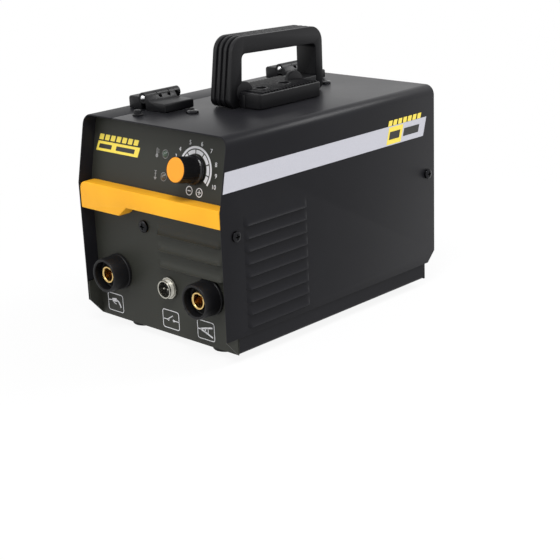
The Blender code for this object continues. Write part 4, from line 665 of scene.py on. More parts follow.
def place_camera():
    """The photograph's view."""
    yaw, pitch, roll = (math.radians(angle) for angle in CAMERA_TURN)
    back = Vector(
        (math.sin(yaw) * math.cos(pitch), -math.cos(yaw) * math.cos(pitch), math.sin(pitch))
    )
    level = Vector((math.cos(yaw), math.sin(yaw), 0))
    upright = back.cross(level)
    right = level * math.cos(roll) + upright * math.sin(roll)
    up = upright * math.cos(roll) - level * math.sin(roll)
    bpy.ops.object.camera_add()
    camera = bpy.context.object
    turn = Matrix((right, up, back)).transposed().to_4x4()
    camera.matrix_world = Matrix.Translation(CAMERA_AT) @ turn
    camera.data.sensor_width = SENSOR_WIDTH
    camera.data.lens = SENSOR_WIDTH * FOCAL_LENGTH / PHOTO_WIDTH
    camera.data.clip_start = 0.05
    bpy.context.scene.camera = camera


def area_light(name, at, size, power):
    """A softbox that faces the machine."""
    bpy.ops.object.light_add(type="AREA", location=at)
    light = bpy.context.object
    light.name = name
    middle = Vector((0, 0, 0.1))
    light.rotation_euler = (middle - Vector(at)).to_track_quat("-Z", "Y").to_euler()
    light.data.shape = "RECTANGLE"
    light.data.size, light.data.size_y = size
    light.data.energy = power


def background_rays(nodes):
    """1 for the rays that see the white background: camera, mirror and glass rays."""
    camera, mirror, glass = (
        nodes.node("ShaderNodeLightPath", {}, output=f"Is {kind} Ray")
        for kind in ("Camera", "Glossy", "Transmission")
    )
    return camera.larger(mirror).larger(glass)


def light_world():
    world = bpy.data.worlds.new("studio")
    world.use_nodes = True
    bpy.context.scene.world = world
    nodes = Nodes(world.node_tree)
    shader = world.node_tree.nodes["Background"]
    shader.inputs["Color"].default_value = (1, 1, 1, 1)
    seen = background_rays(nodes)
    level = nodes.node("ShaderNodeMapRange", {}, Value=seen, To_Min=WORLD_STRENGTH, To_Max=1.0)
    world.node_tree.links.new(level.socket, shader.inputs["Strength"])


def lay_floor():
    """White studio floor, which fades into the white background away from the machine."""
    deselect()
    bpy.ops.mesh.primitive_plane_add(size=8, location=(0, 0, 0))
    floor = named("studio_floor")
    material = bpy.data.materials.new("studio_floor")
    material.use_nodes = True
    tree = material.node_tree
    tree.nodes.remove(tree.nodes["Principled BSDF"])
    nodes = Nodes(tree)
    settings = {"operation": "LENGTH"}
    distance = nodes.node("ShaderNodeVectorMath", settings, nodes.place(), output="Value")
    near, far = FLOOR_FADE
    fade = nodes.node(
        "ShaderNodeMapRange", {}, Value=distance, From_Min=near, From_Max=far, To_Min=FLOOR_GLOW
    )
    matt = nodes.node("ShaderNodeBsdfDiffuse", {}, Color=(0.86, 0.86, 0.87, 1))
    glow = nodes.node("ShaderNodeEmission", {})
    blend = nodes.node("ShaderNodeMixShader", {}, fade * background_rays(nodes), matt, glow)
    tree.links.new(blend.socket, tree.nodes["Material Output"].inputs["Surface"])
    floor.data.materials.append(material)


bpy.context.scene.view_settings.view_transform = "Standard"
place_camera()
light_world()
area_light("key_softbox", (0.6, -0.85, 1.75), (0.7, 0.7), 22)
area_light("back_softbox", (0.7, 1.2, 1.35), (0.9, 0.6), 20)
area_light("left_softbox", (-0.9, -1.5, 0.9), (1.0, 1.0), 6.5)
lay_floor()


# ---------------------------------------------------------------- pressed louvres
def louvre(length, height, depth, end):
    """A hood pressed out of a strip: X along it, Y up it, Z out of it, open at its lower edge."""
    deselect()
    bpy.ops.mesh.primitive_grid_add(x_subdivisions=56, y_subdivisions=12, size=1)
    hood = named("louvre")
    hood.scale = (length, height, 1)
    settle(hood)
    for vertex in hood.data.vertices:
        along, up, _ = vertex.co
        from_end = min(1, (length / 2 - abs(along)) / end)
        from_top = (height / 2 - up) / height
        rise = math.sin(from_end * math.pi / 2) * (0.4 * from_top + 0.6 * from_top**4)
        vertex.co.z = depth * rise
    apply_modifier(hood, "SOLIDIFY", thickness=0.9 * MM, offset=-1)
    return hood


def window(name, centre, along, up, out, length, height):
    """What is cut out of a sheet where a louvre goes in."""
    tool = block(name, (-length / 2, -height / 2, -3 * MM), (length / 2, height / 2, 3 * MM))
    return place(tool, along, up, out, centre)


def fit_louvres(sheet, centres, along, up, out, length, height, depth, end):
    first = louvre(length, height, depth, end)
    windows, hoods = [], []
    for i, centre in enumerate(centres):
        windows.append(window(f"window_{i}", centre, along, up, out, length, height))
        hoods.append(place(copy_piece(first, f"hood_{i}"), along, up, out, centre))
    cut(sheet, *windows)
    bpy.data.objects.remove(first)
    return join(sheet.name, [sheet, *hoods])


# ---------------------------------------------------------------- case sheets
def thicken(sheet, out):
    """Faces a bent surface outwards and gives it the thickness of the sheet on its inside."""
    edit(sheet)
    bpy.ops.mesh.normals_make_consistent(inside=False)
    leave()
    middle = sum((face.normal * face.area for face in sheet.data.polygons), Vector())
    if middle.dot(out) < 0:
        edit(sheet)
        bpy.ops.mesh.flip_normals()
        leave()
    apply_modifier(sheet, "SOLIDIFY", thickness=SHEET, offset=-1, use_even_offset=True)


def bent_sheet(name, side, seam):
    """One wall with its part of the top: drawn across, pulled along the case and thickened."""
    path = [(seam, CASE_TOP), (side * HALF_WIDTH, CASE_TOP), (side * HALF_WIDTH, WALL_BOTTOM)]
    bend = round_corners(path, 9 * MM, 14, closed=False)
    sheet = draw(name, [(x, FRONT_Y, z) for x, z in bend], fill=False)
    pull(sheet, Y * (REAR_Y - FRONT_Y))
    thicken(sheet, Z)
    bisect(sheet, (0, FRONT_Y, NOSE), FACE_OUT)
    bisect(sheet, (0, REAR_Y - 10 * MM, WALL_BOTTOM), (0, 11, -10))
    soften(sheet, 0.3 * MM, 2, 50)
    return sheet


def make_cover():
    cover = bent_sheet("cover_sheet", 1, SEAM_X + GAP)
    half = SIDE_LOUVRE["height"] / 2
    centres = [(HALF_WIDTH, SIDE_LOUVRE_MIDDLE, top - half) for top in SIDE_LOUVRE_TOPS]
    cover = fit_louvres(cover, centres, Y, Z, X, **SIDE_LOUVRE)
    finish(cover, "chassis", CASE, "case_paint", "top_side_cover")


def make_door():
    door = bent_sheet("door_sheet", -1, SEAM_X - GAP)
    finish(door, "door", CASE, "case_paint", "side_door")


def stripe(side, name, body):
    """The pale vinyl stripe along a wall, its front edge in line with the leaning front."""
    low, high = mm(146, 163)
    lean = math.tan(LEAN)
    outline = [
        (FRONT_Y + (low - NOSE) * lean + 0.6 * MM, low), (121 * MM, low), (126 * MM, high),
        (FRONT_Y + (high - NOSE) * lean + 0.6 * MM, high),
    ]
    faces = sorted(side * (HALF_WIDTH + rise * MM) for rise in (0.01, 0.16))
    strip = prism(name, outline, "YZ", *faces)
    finish(strip, body, STRIPE, "case_paint")


make_cover()
make_door()
stripe(1, "stripe_right", "chassis")
stripe(-1, "stripe_left", "door")


# ---------------------------------------------------------------- front panel
def face_y(height):
    return PANEL_Y + max(0.0, height - NOSE) * math.tan(LEAN)


def off_face(x, height, out):
    """The point at a distance in front of the leaning face."""
    return Vector((x, face_y(height), height)) + FACE_OUT * out


def make_panel():
    path = [(PANEL_Y, 7.5 * MM), (PANEL_Y, NOSE), (face_y(CASE_TOP), CASE_TOP)]
    bend = round_corners(path, 4 * MM, 5, closed=False)
    panel = draw("panel_sheet", [(-INNER_HALF, y, z) for y, z in bend], fill=False)
    pull(panel, X * 2 * INNER_HALF)
    thicken(panel, -Y)
    corners = rectangle(-INNER_HALF, 7.5 * MM, INNER_HALF, 188.5 * MM)
    outline = round_corners(corners, mm(2, 2, 7.5, 7.5), 8)
    combine(panel, "INTERSECT", prism("outline", outline, "XZ", FRONT_Y, 0))
    through = 10 * MM
    start = PANEL_Y - through / 2
    holes = [
        rod("socket_hole", 12.3 * MM, (x, start, SOCKET_Z), Y, through, 40)
        for x in (-SOCKET_X, SOCKET_X)
    ]
    holes.append(rod("trigger_hole", 8.3 * MM, (TRIGGER_X, start, TRIGGER_Z), Y, through))
    lamps = [(2.6 * MM, LAMP_X, height) for height in LAMP_HEIGHTS.values()]
    for radius, x, height in [(4.8 * MM, KNOB_X, KNOB_Z), *lamps]:
        start = off_face(x, height, -through / 2)
        holes.append(rod("face_hole", radius, start, FACE_OUT, through))
    cut(panel, *holes)
    half = PANEL_LOUVRE["height"] / 2
    centres = [(PANEL_LOUVRE_MIDDLE, PANEL_Y, top - half) for top in PANEL_LOUVRE_TOPS]
    panel = fit_louvres(panel, centres, X, Z, -Y, **PANEL_LOUVRE)
    cheek = [
        (PANEL_Y + SHEET / 2, 7.5 * MM), (PANEL_Y + SHEET / 2, 40 * MM), (FRONT_Y + GAP, 40 * MM),
        (FRONT_Y + GAP, WALL_BOTTOM), (PANEL_Y, 7.5 * MM),
    ]
    inside = INNER_HALF - SHEET
    cheeks = [
        prism("cheek", cheek, "YZ", *faces)
        for faces in ((-INNER_HALF, -inside), (inside, INNER_HALF))
    ]
    panel = join("panel_sheet", [panel, *cheeks])
    finish(panel, "chassis", PANEL, "panel_paint", "front_panel")


def make_trim():
    """Orange ledge across the front, deeper at its left end."""
    left, right = -INNER_HALF + 0.2 * MM, INNER_HALF - 0.2 * MM
    bottom, top = mm(117.4, 133)
    drop = bottom - 8.5 * MM
    outline = [
        (left, drop), (-37 * MM, drop), (-27 * MM, bottom),
        (right, bottom), (right, top), (left, top),
    ]
    outline = round_corners(outline, mm(0.8, 2, 3, 0.8, 0.8, 7), 6)
    trim = prism("trim_ledge", outline, "XZ", FRONT_Y + 0.05 * MM, PANEL_Y - GAP)
    soften(trim, 1.3 * MM, 3)
    finish(trim, "chassis", TRIM, "orange_plastic", "front_trim")


make_panel()
make_trim()


# ---------------------------------------------------------------- screws
def pan_screw(radius, height):
    """Pan head with a cross recess and a short shank, made along +Z."""
    profile = [
        mm(0, -4), mm(1.6, -4), mm(1.6, 0.15), (radius, 0.15 * MM),
        (radius, 0.45 * height), (0.94 * radius, 0.72 * height), (0.76 * radius, 0.92 * height),
        (0.50 * radius, height), (0, height),
    ]
    screw = lathe("pan_screw", profile, 32)
    reach, wide = 0.52 * radius, 0.13 * radius
    low, high = 0.4 * height, 1.5 * height
    cut(screw, block("slot_x", (-reach, -wide, low), (reach, wide, high)))
    cut(screw, block("slot_y", (-wide, -reach, low), (wide, reach, high)))
    return screw


def fit_screws(pattern, places):
    """Puts a copy of a screw at each place.

    A place is a name, a seat, a direction and the CAD nodes that the screw stands for.
    """
    for name, seat, towards, nodes in places:
        screw = copy_piece(pattern, name)
        point_to(screw, towards, seat)
        finish(screw, "chassis", BLACK_STEEL, "black_steel", *nodes)
    bpy.data.objects.remove(pattern)


fan_screws = [
    (FAN_X + side * FAN_SCREW_REACH, REAR_PANEL_Y, FAN_Z + level * FAN_SCREW_REACH)
    for level in (-1, 1)
    for side in (-1, 1)
]
fit_screws(
    pan_screw(4.6 * MM, 2.45 * MM),
    [
        *[
            (f"wall_screw_{end}", (HALF_WIDTH, y, 109 * MM), X, [f"side_screw_{end}"])
            for end, y in WALL_SCREWS.items()
        ],
        *[
            (f"base_screw_{end}", seat, Z, [f"handle_screw_{end}"])
            for end, seat in BASE_SCREWS.items()
        ],
        *[(f"fan_screw_{i}", seat, Y, []) for i, seat in enumerate(fan_screws)],
    ],
)
fit_screws(
    pan_screw(5.4 * MM, 2.6 * MM),
    [
        ("top_screw_front", (-7.3 * MM, -73.1 * MM, CASE_TOP), Z, []),
        ("top_screw_rear", (-3 * MM, 92 * MM, CASE_TOP), Z, []),
        ("panel_screw", (-20.4 * MM, PANEL_Y, 99.5 * MM), -Y, ["front_panel_screw"]),
    ],
)


def make_top_boss():
    """Small moulded stop on the top, in front of the front hinge."""
    profile = [(0, 0.1), (4.5, 0.1), (4.5, 1.2), (3.4, 1.8), (3.0, 4.4), (2.4, 5.0), (0, 5.0)]
    boss = turned("top_stop", profile, 32, (-39.4 * MM, -106.6 * MM, CASE_TOP))
    finish(boss, "chassis", HANDLE, "handle_plastic")


make_top_boss()


# ---------------------------------------------------------------- handle
ON_TOP = CASE_TOP + GAP
HANDLE_HALF = 12 * MM
HANDLE_FRONT, HANDLE_REAR = mm(-48, 73)
HANDLE_TOP_FRONT, HANDLE_TOP_REAR = mm(250.3, 247.3)
HANDLE_LEAN = 8.8 * MM  # how far the front edge leans back over its height
OPENING_REAR = 64 * MM
GROOVE_DEPTH = 2.2 * MM
GROOVES = mm(-6, 0, 6)
GROOVE_HALF = 1.4 * MM


def handle_outline(inset, corner, foot):
    """The outside of the handle seen from its side, without its opening."""
    corners = [
        (HANDLE_FRONT + inset, ON_TOP + inset),
        (HANDLE_REAR - inset, ON_TOP + inset),
        (HANDLE_REAR - inset, HANDLE_TOP_REAR - inset),
        (HANDLE_FRONT + HANDLE_LEAN + inset, HANDLE_TOP_FRONT - inset),
    ]
    return round_corners(corners, [foot, foot, corner, corner], 10)


def lobe(y):
    """Round end of the handle's axle, beside a leg."""
    return soften(rod("lobe", 9.6 * MM, (8 * MM, y, 202.2 * MM), X, 5.2 * MM, 48), 0.8 * MM)


def make_handle():
    """Moulded loop with three grooves round its outside and a lobe beside its front leg."""
    outside = handle_outline(0, 14 * MM, 7 * MM)
    handle = prism("carry_handle", outside, "YZ", -HANDLE_HALF, HANDLE_HALF)
    opening = [
        mm(-35.2, 150), (OPENING_REAR, 150 * MM),
        (OPENING_REAR, 232.2 * MM), mm(-29.6, 235.2),
    ]
    opening = round_corners(opening, mm(0, 0, 4.5, 4.5), 8)
    grooves = []
    for i, x in enumerate(GROOVES):
        low = (x - GROOVE_HALF, -55 * MM, ON_TOP - 5 * MM)
        high = (x + GROOVE_HALF, 80 * MM, 255 * MM)
        ring = block(f"groove_{i}", low, high)
        core = handle_outline(GROOVE_DEPTH, 11.8 * MM, 4.8 * MM)
        grooves.append(cut(ring, prism("core", core, "YZ", -20 * MM, 20 * MM)))
    cut(handle, prism("opening", opening, "YZ", -20 * MM, 20 * MM))
    cut(handle, *grooves)
    soften(handle, 0.7 * MM, 2)
    handle = join("carry_handle", [handle, lobe(-29 * MM)])
    finish(handle, "chassis", HANDLE, "handle_plastic", "handle")


BASE_FRONT, BASE_REAR, BASE_RIGHT = mm(-35.5, 42, 37)
BASE_TOP = 203.4 * MM
RIB_TOP = 204.8 * MM
RIB_PITCH = 3.7 * MM


def make_handle_base():
    """The block beside the handle's feet, ribbed on top, with two recessed screws."""
    front, rear = -31.2 * MM, OPENING_REAR - GAP
    side = HANDLE_HALF + GAP
    plan = [
        (-HANDLE_HALF, front), (side, front), (side, BASE_FRONT), (BASE_RIGHT, BASE_FRONT),
        (BASE_RIGHT, BASE_REAR), (side, BASE_REAR), (side, rear), (-HANDLE_HALF, rear),
    ]
    radii = mm(0, 0, 1, 2.5, 3, 0, 0, 0)
    base = prism("handle_block", round_corners(plan, radii, 8), "XY", ON_TOP, BASE_TOP)
    soften(base, 1.5 * MM, 3, 50)
    for seat in BASE_SCREWS.values():
        cut(base, rod("recess", 5.3 * MM, seat, Z, 10 * MM, 40))
    rib = block("rib", (-10.5 * MM, -0.8 * MM, BASE_TOP - 0.5 * MM), (35.4 * MM, 0.8 * MM, RIB_TOP))
    soften(rib, 0.4 * MM, 2)
    ribs = []
    count = int((BASE_REAR - front - 5 * MM) / RIB_PITCH) + 1
    for i in range(count):
        ribs.append(copy_piece(rib, f"rib_{i}"))
        ribs[-1].location = (0, front + 2.4 * MM + i * RIB_PITCH, 0)
        settle(ribs[-1])
    bpy.data.objects.remove(rib)
    ribs = join("ribs", ribs)
    for seat in BASE_SCREWS.values():
        cut(ribs, rod("clear", 6.6 * MM, seat, Z, 10 * MM, 40))
        rim = [(5.3, 3.0), (6.4, 3.0), (6.4, 5.1), (6.1, 5.5), (5.6, 5.5), (5.3, 5.2)]
        ribs = join("ribs", [ribs, turned("rim", rim, 40, seat)])
    low = (side, BASE_FRONT - 0.7 * MM, ON_TOP)
    plate = block("plate", low, (19.5 * MM, BASE_FRONT + MM, 202 * MM))
    soften(plate, 0.4 * MM, 2)
    base = join("handle_block", [base, ribs, plate, lobe(34.5 * MM)])
    finish(base, "chassis", HANDLE, "handle_plastic", "handle_base")


make_handle()
make_handle_base()


# ---------------------------------------------------------------- door hinges
PIN_X, PIN_Z = mm(-53.5, 200.5)
KNUCKLE, PIN, HINGE_LENGTH, KNUCKLE_LENGTH = mm(4.8, 2.6, 40, 13)
PAD_LENGTH = 33 * MM


def knuckle(name, low, high, radius=KNUCKLE):
    return rod(name, radius, (PIN_X, low, PIN_Z), Y, high - low, 40)


def make_hinge(end, start):
    """Moulded leaves that meet on a steel pin, with scooped notches along the barrel."""
    rear = start + HINGE_LENGTH
    inner, outer = start + KNUCKLE_LENGTH, rear - KNUCKLE_LENGTH
    section = [
        (PIN_X + 2.8 * MM, ON_TOP), (-24.6 * MM, ON_TOP), mm(-24.6, 197.8),
        mm(-45.2, 198.2), mm(-48.0, 202.0), (PIN_X + 2.8 * MM, 204.0 * MM),
    ]
    section = round_corners(section, mm(0, 1, 1.6, 3, 0, 0), 5)
    fixed = prism(f"hinge_pad_{end}", section, "XZ", start, start + PAD_LENGTH)
    soften(fixed, 0.7 * MM, 2, 50)
    add(fixed, knuckle("first", start, inner))
    add(fixed, knuckle("last", outer, rear))
    relief = knuckle("relief", inner - GAP, outer + GAP, KNUCKLE + 2 * GAP)
    cut(fixed, relief)
    bore = knuckle("bore", start - 5 * MM, rear + 5 * MM, PIN + GAP)
    cut(fixed, copy_piece(bore, "fixed_bore"))
    notches = []
    for y in (15.0, 25.0, 35.0):
        seat = (PIN_X + 3.0 * MM, start + y * MM, PIN_Z - 0.4 * MM)
        notches.append(rod(f"notch_{y}", 1.9 * MM, seat, (1, 0, 0.35), 9 * MM))
    cut(fixed, join("notches", notches))
    finish(fixed, "chassis", HANDLE, "handle_plastic", f"hinge_fixed_leaf_{end}")

    low = (PIN_X - 18.5 * MM, ON_TOP)
    high = (PIN_X - PIN, ON_TOP + 11 * MM)
    leaf = rectangle(*low, *high)
    leaf = round_corners(leaf, mm(0.8, 0, 0, 2.5), 5)
    moving = prism(f"hinge_leaf_{end}", leaf, "XZ", start, rear)
    soften(moving, 0.7 * MM, 2, 50)
    add(moving, knuckle("middle", inner + GAP, outer - GAP))
    cut(moving, knuckle("relief_front", start - 5 * MM, inner, KNUCKLE + 2 * GAP))
    cut(moving, knuckle("relief_rear", outer, rear + 5 * MM, KNUCKLE + 2 * GAP))
    cut(moving, bore)
    finish(moving, "door", HANDLE, "handle_plastic", f"hinge_moving_leaf_{end}")

    ends = [(0, -0.9 * MM), mm(1.6, -0.7), mm(2.3, -0.2), (PIN, 0.4 * MM)]
    profile = ends + [(radius, HINGE_LENGTH - height) for radius, height in reversed(ends)]
    pin = lathe(f"hinge_steel_{end}", profile, 32, (PIN_X, start, PIN_Z), Y)
    finish(pin, "chassis", STEEL, "bright_steel", f"hinge_pin_{end}")


make_hinge("front", -88 * MM)
make_hinge("rear", 84 * MM)


# ---------------------------------------------------------------- knob and lamps
KNOB_FLUTES = 24


def make_knob():
    """Skirted knob with shallow flutes and a pressed-in orange cap."""
    profile = [
        (0, -11), (3, -11), (3, 0.9), (12.0, 0.9), (12.4, 1.3), (12.4, 3.2), (11.9, 4.0),
        (11.3, 4.4), (11.1, 5.2), (10.7, 20.6), (10.65, 21.6), (10.5, 21.9), (10.35, 21.9),
        (10.3, 20.4), (0, 20.4),
    ]
    origin = off_face(KNOB_X, KNOB_Z, 0)
    knob = turned("dial_body", profile, 4 * KNOB_FLUTES)
    flute(knob, KNOB_FLUTES, 0.045, *mm(10.4, 5, 21))
    point_to(knob, FACE_OUT, origin)
    finish(knob, "knob", GLOSS, "black_moulding", "control_knob", angle=50)
    profile = [
        (0, 20.6), (10.1, 20.6), (10.1, 21.8), (9.8, 22.15), (9.1, 22.35), (4.5, 22.5), (0, 22.55),
    ]
    cap = turned("dial_cap", profile, 64, origin, FACE_OUT)
    finish(cap, "knob", CAP, "orange_cap", "knob_cap")


def make_lamps():
    profile = [
        (0, -7), (2.3, -7), (2.3, 0.3), (3.0, 0.3), (3.0, 0.55), (2.8, 0.75), (2.35, 0.8),
        (2.1, 1.3), (1.5, 1.7), (0, 1.9),
    ]
    for name, paint, slot in (
        ("upper", LENS_GREEN, "lamp_green"),
        ("lower", LENS_AMBER, "lamp_amber"),
    ):
        at = off_face(LAMP_X, LAMP_HEIGHTS[name], 0)
        lamp = turned(f"lamp_{name}", profile, 32, at, FACE_OUT)
        finish(lamp, "chassis", paint, slot, f"indicator_{name}")


make_knob()
make_lamps()


# ---------------------------------------------------------------- front sockets
def make_welding_socket(name, x, dots):
    """Bayonet socket: moulded shroud, and a brass insert with its key slot at the upper right."""
    profile = [
        (7.9, -10.2), (12, -10.2), (12, 0.3), (15.6, 0.3), (16, 0.7), (16, 2.6), (15.5, 3.2),
        (15.1, 18.0), (14.6, 18.8), (14.0, 19.0), (13.1, 18.9), (12.5, 18.3), (12.3, 10.4),
        (11.8, 10), (7.9, 10),
    ]
    at = (x, PANEL_Y, SOCKET_Z)
    shroud = turned(f"{name}_shroud", profile, 72, at, -Y)
    if dots:
        tools = []
        for i, angle in enumerate((215, 240)):
            turn = math.radians(angle)
            arm = (X * math.cos(turn) + Z * math.sin(turn)) * 13.7 * MM
            start = Vector(at) + arm - Y * 18.4 * MM
            tools.append(rod(f"dot_{i}", 0.8 * MM, start, -Y, 3 * MM, 16))
        cut(shroud, *tools)
    finish(shroud, "chassis", MOULDING, "black_moulding", f"{name}_socket_shroud")
    profile = [
        (0, -21.5), (5, -21.5), (5, -13.5), (12, -13.5), (12, -10.5), (7.6, -10.5), (7.6, 14.0),
        (7.2, 14.5), (6.2, 14.5), (5.7, 13.9), (5.7, -11.5), (0, -11.5),
    ]
    insert = turned(f"{name}_insert", profile, 64, at, -Y)
    slot = block("key_slot", mm(0, -1.7, 2), mm(7.0, 1.7, 20))
    slot.rotation_euler = (0, 0, math.radians(40))
    settle(slot)
    place(slot, X, Z, -Y, at)
    cut(insert, slot)
    brass = turned_metal(f"{name}_brass", (0.78, 0.55, 0.22), 0.24, at, "Y")
    finish(insert, "chassis", brass, "brass", f"{name}_socket_insert")


def make_trigger_socket():
    """Threaded barrel with its nut, and an insulator that carries two pins and a key."""
    at = Vector((TRIGGER_X, PANEL_Y, TRIGGER_Z))
    crest, root, pitch = 8.0, 7.55, 0.9
    profile = [(6.8, -9), (crest, -9), (crest, 2.4)]
    height = 2.4
    while height + pitch < 6.9:
        profile += [(root, height + pitch / 2), (crest, height + pitch)]
        height += pitch
    profile += [(crest, 6.9), (7.8, 7.2), (7.0, 7.2), (6.8, 7.0)]
    barrel = turned("trigger_barrel", profile, 56, at, -Y)
    profile = rectangle(8.05 * MM, GAP, 9.7 * MM, 2.3 * MM)
    nut = soften(lathe("trigger_nut", profile, 12), 0.4 * MM, 2, 25)
    point_to(nut, -Y, at)
    barrel = join("trigger_barrel", [barrel, nut])
    finish(barrel, "chassis", NICKEL, "nickel", "trigger_socket")

    core = rod("trigger_core", 6.5 * MM, at + Y * 9 * MM, -Y, 10.2 * MM, 48)
    soften(core, 0.3 * MM, 2)
    key = block("key", (6.8 * MM, PANEL_Y - 5.5 * MM, 55 * MM), (8.2 * MM, PANEL_Y - MM, 56.6 * MM))
    pins = []
    for side in (-1, 1):
        profile = [(0, 0), (1.0, 0), (1.0, 4.4), (0.7, 4.9), (0, 5.1)]
        pin = turned(f"contact_{side}", profile, 20)
        pins.append(point_to(pin, -Y, at + X * side * 2.5 * MM))
    finish(join("trigger_core", [core, key]), "chassis", INSULATOR, "insulator", "trigger_insert")
    finish(join("trigger_contacts", pins), "chassis", NICKEL, "nickel")


make_welding_socket("torch", -SOCKET_X, False)
make_welding_socket("clamp", SOCKET_X, True)
make_trigger_socket()


# ---------------------------------------------------------------- printed marks
def band(name, centre, inner, outer, start=0, end=360):
    """A printed ring, or the part of one between two angles in degrees, anticlockwise."""
    steps = max(6, int((end - start) / 4))
    turns = [math.radians(start + (end - start) * i / steps) for i in range(steps + 1)]
    x, y = centre
    if end - start == 360:
        profile = [(inner, 0), (outer, 0), (outer, INK), (inner, INK)]
        return lathe(name, profile, steps, (x, y, 0))
    outline = [(x + outer * math.cos(t), y + outer * math.sin(t)) for t in turns]
    outline += [(x + inner * math.cos(t), y + inner * math.sin(t)) for t in reversed(turns)]
    return prism(name, outline, "XY", 0, INK)


def dash(name, start, end, width):
    """A printed straight line between two points."""
    start, end = Vector(start), Vector(end)
    across = (end - start).normalized().orthogonal() * width / 2
    outline = [tuple(p) for p in (start - across, start + across, end + across, end - across)]
    return prism(name, outline, "XY", 0, INK)


def frame_line(name, low, high, width, radius):
    """A printed rounded rectangle, as a line."""
    outside = round_corners(rectangle(*low, *high), radius, 5)
    inside = rectangle(low[0] + width, low[1] + width, high[0] - width, high[1] - width)
    mark = prism(name, outside, "XY", 0, INK)
    return cut(mark, prism("inside", round_corners(inside, radius - width, 5), "XY", -MM, MM))


def figure(text, size, centre):
    """Printed figures, centred on a point."""
    deselect()
    bpy.ops.object.text_add(location=(*centre, INK / 2))
    mark = bpy.context.object
    mark.data.body = text
    mark.data.size = size
    mark.data.align_x = "CENTER"
    mark.data.align_y = "CENTER"
    mark.data.extrude = INK / 2
    bpy.ops.object.convert(target="MESH")
    mark = named(f"figure_{text}")
    outward(mark)
    return settle(mark)


def along_face(height):
    """How far up the leaning face a height lies."""
    return (height - NOSE) / math.cos(LEAN)


def print_upper(marks, name, paint):
    piece = place(join(name, marks), X, FACE_UP, FACE_OUT, off_face(0, NOSE, 0.01 * MM))
    finish(piece, "chassis", paint, "panel_paint")


def print_lower(marks, name, paint):
    piece = place(join(name, marks), X, Z, -Y, (0, PANEL_Y - 0.01 * MM, 0))
    finish(piece, "chassis", paint, "panel_paint")


FIGURES = [  # where the figures from 1 to 10 stand, in mm from the knob
    (-22.0, -12.5), (-25.0, -2.0), (-24.0, 8.0), (-19.6, 14.5), (-8.3, 21.3),
    (5.5, 21.5), (16.9, 17.1), (23.5, 7.1), (24.4, -2.0), (23.0, -11.0),
]


def print_dial():
    """Scale round the knob, its figures from 1 to 10, and the minus and plus under it."""
    centre = (KNOB_X, along_face(KNOB_Z))
    marks = [band("scale", centre, 17.4 * MM, 19.3 * MM, -36, 216)]
    steps = [(-36, -14), (-10, 20), (24, 56), (60, 92), (96, 128), (132, 164), (168, 216)]
    for i, (start, end) in enumerate(steps):
        marks.append(band(f"step_{i}", centre, 13.3 * MM, 16.4 * MM, start, end))
    for number, (x, up) in enumerate(FIGURES, 1):
        marks.append(figure(str(number), 5.2 * MM, (centre[0] + x * MM, centre[1] + up * MM)))
    for x, is_plus in ((37.6 * MM, False), (49.4 * MM, True)):
        at = Vector((x, along_face(139.2 * MM)))
        marks.append(band("sign_ring", at, 3.1 * MM, 3.9 * MM))
        arm = 1.9 * MM
        marks.append(dash("minus", at - Vector((arm, 0)), at + Vector((arm, 0)), 0.8 * MM))
        if is_plus:
            marks.append(dash("bar_up", at - Vector((0, arm)), at + Vector((0, arm)), 0.8 * MM))
    print_upper(marks, "dial_marks", WHITE_INK)


def print_lamp_marks():
    """A ring round each lamp, a thermometer by the upper one and a down arrow by the lower."""
    marks = []
    for height in LAMP_HEIGHTS.values():
        marks.append(band("lamp_ring", (LAMP_X, along_face(height)), 3.3 * MM, 3.7 * MM))
    x, up = -4.8 * MM, along_face(LAMP_HEIGHTS["upper"])
    marks.append(band("bulb", (x, up - 2.4 * MM), 0.4 * MM, 1.5 * MM))
    low, high = (x - 0.9 * MM, up - 1.2 * MM), (x + 0.9 * MM, up + 4 * MM)
    marks.append(frame_line("tube", low, high, 0.45 * MM, 0.8 * MM))
    for i in range(3):
        y = up + (0.4 + 1.2 * i) * MM
        marks.append(dash("degree", (x + 1.4 * MM, y), (x + 2.6 * MM, y), 0.4 * MM))
    up = along_face(LAMP_HEIGHTS["lower"])
    arrow = [(x - 1.9 * MM, up - 1.6 * MM), (x + 1.9 * MM, up - 1.6 * MM), (x, up - 3.9 * MM)]
    marks.append(prism("arrow", list(reversed(arrow)), "XY", 0, INK))
    marks.append(dash("arrow_stem", (x, up - 1.6 * MM), (x, up + 3.8 * MM), 0.7 * MM))
    for name, reach, rise in (("bar", 1.4 * MM, 3.8 * MM), ("step", 1.1 * MM, 1.6 * MM)):
        ends = (x - reach, up + rise), (x + reach, up + rise)
        marks.append(dash(f"arrow_{name}", *ends, 0.55 * MM))
    print_upper(marks, "lamp_marks", GREY_INK)


def slanted_bar(name, left, right, low, high, rise=INK):
    """A printed parallelogram whose ends lean to the right."""
    shift = 0.3 * (high - low)
    outline = [(left, low), (right, low), (right + shift, high), (left + shift, high)]
    return prism(name, round_corners(outline, 0.4 * MM, 3), "XY", 0, rise)


def colour_block(left, width, bar_width, low, middle, high):
    """A generic design without lettering: a slanted bar, two dark fields, and dashes above it."""
    pale = [slanted_bar("bar", left, left + bar_width, low, middle)]
    step = (width - 2 * MM) / 7
    for i in range(7):
        start = left + 3 * MM + i * step
        pale.append(slanted_bar(f"dash_{i}", start, start + 0.74 * step, middle + 1.2 * MM, high))
    edge = 0.27 * (middle - low)
    inner = (low + edge, middle - edge, 1.5 * INK)
    dark = [
        slanted_bar("field_0", left + 3.4 * MM, left + 0.36 * width, *inner),
        slanted_bar("field_1", left + 0.47 * width, left + 0.91 * width, *inner),
    ]
    return pale, dark


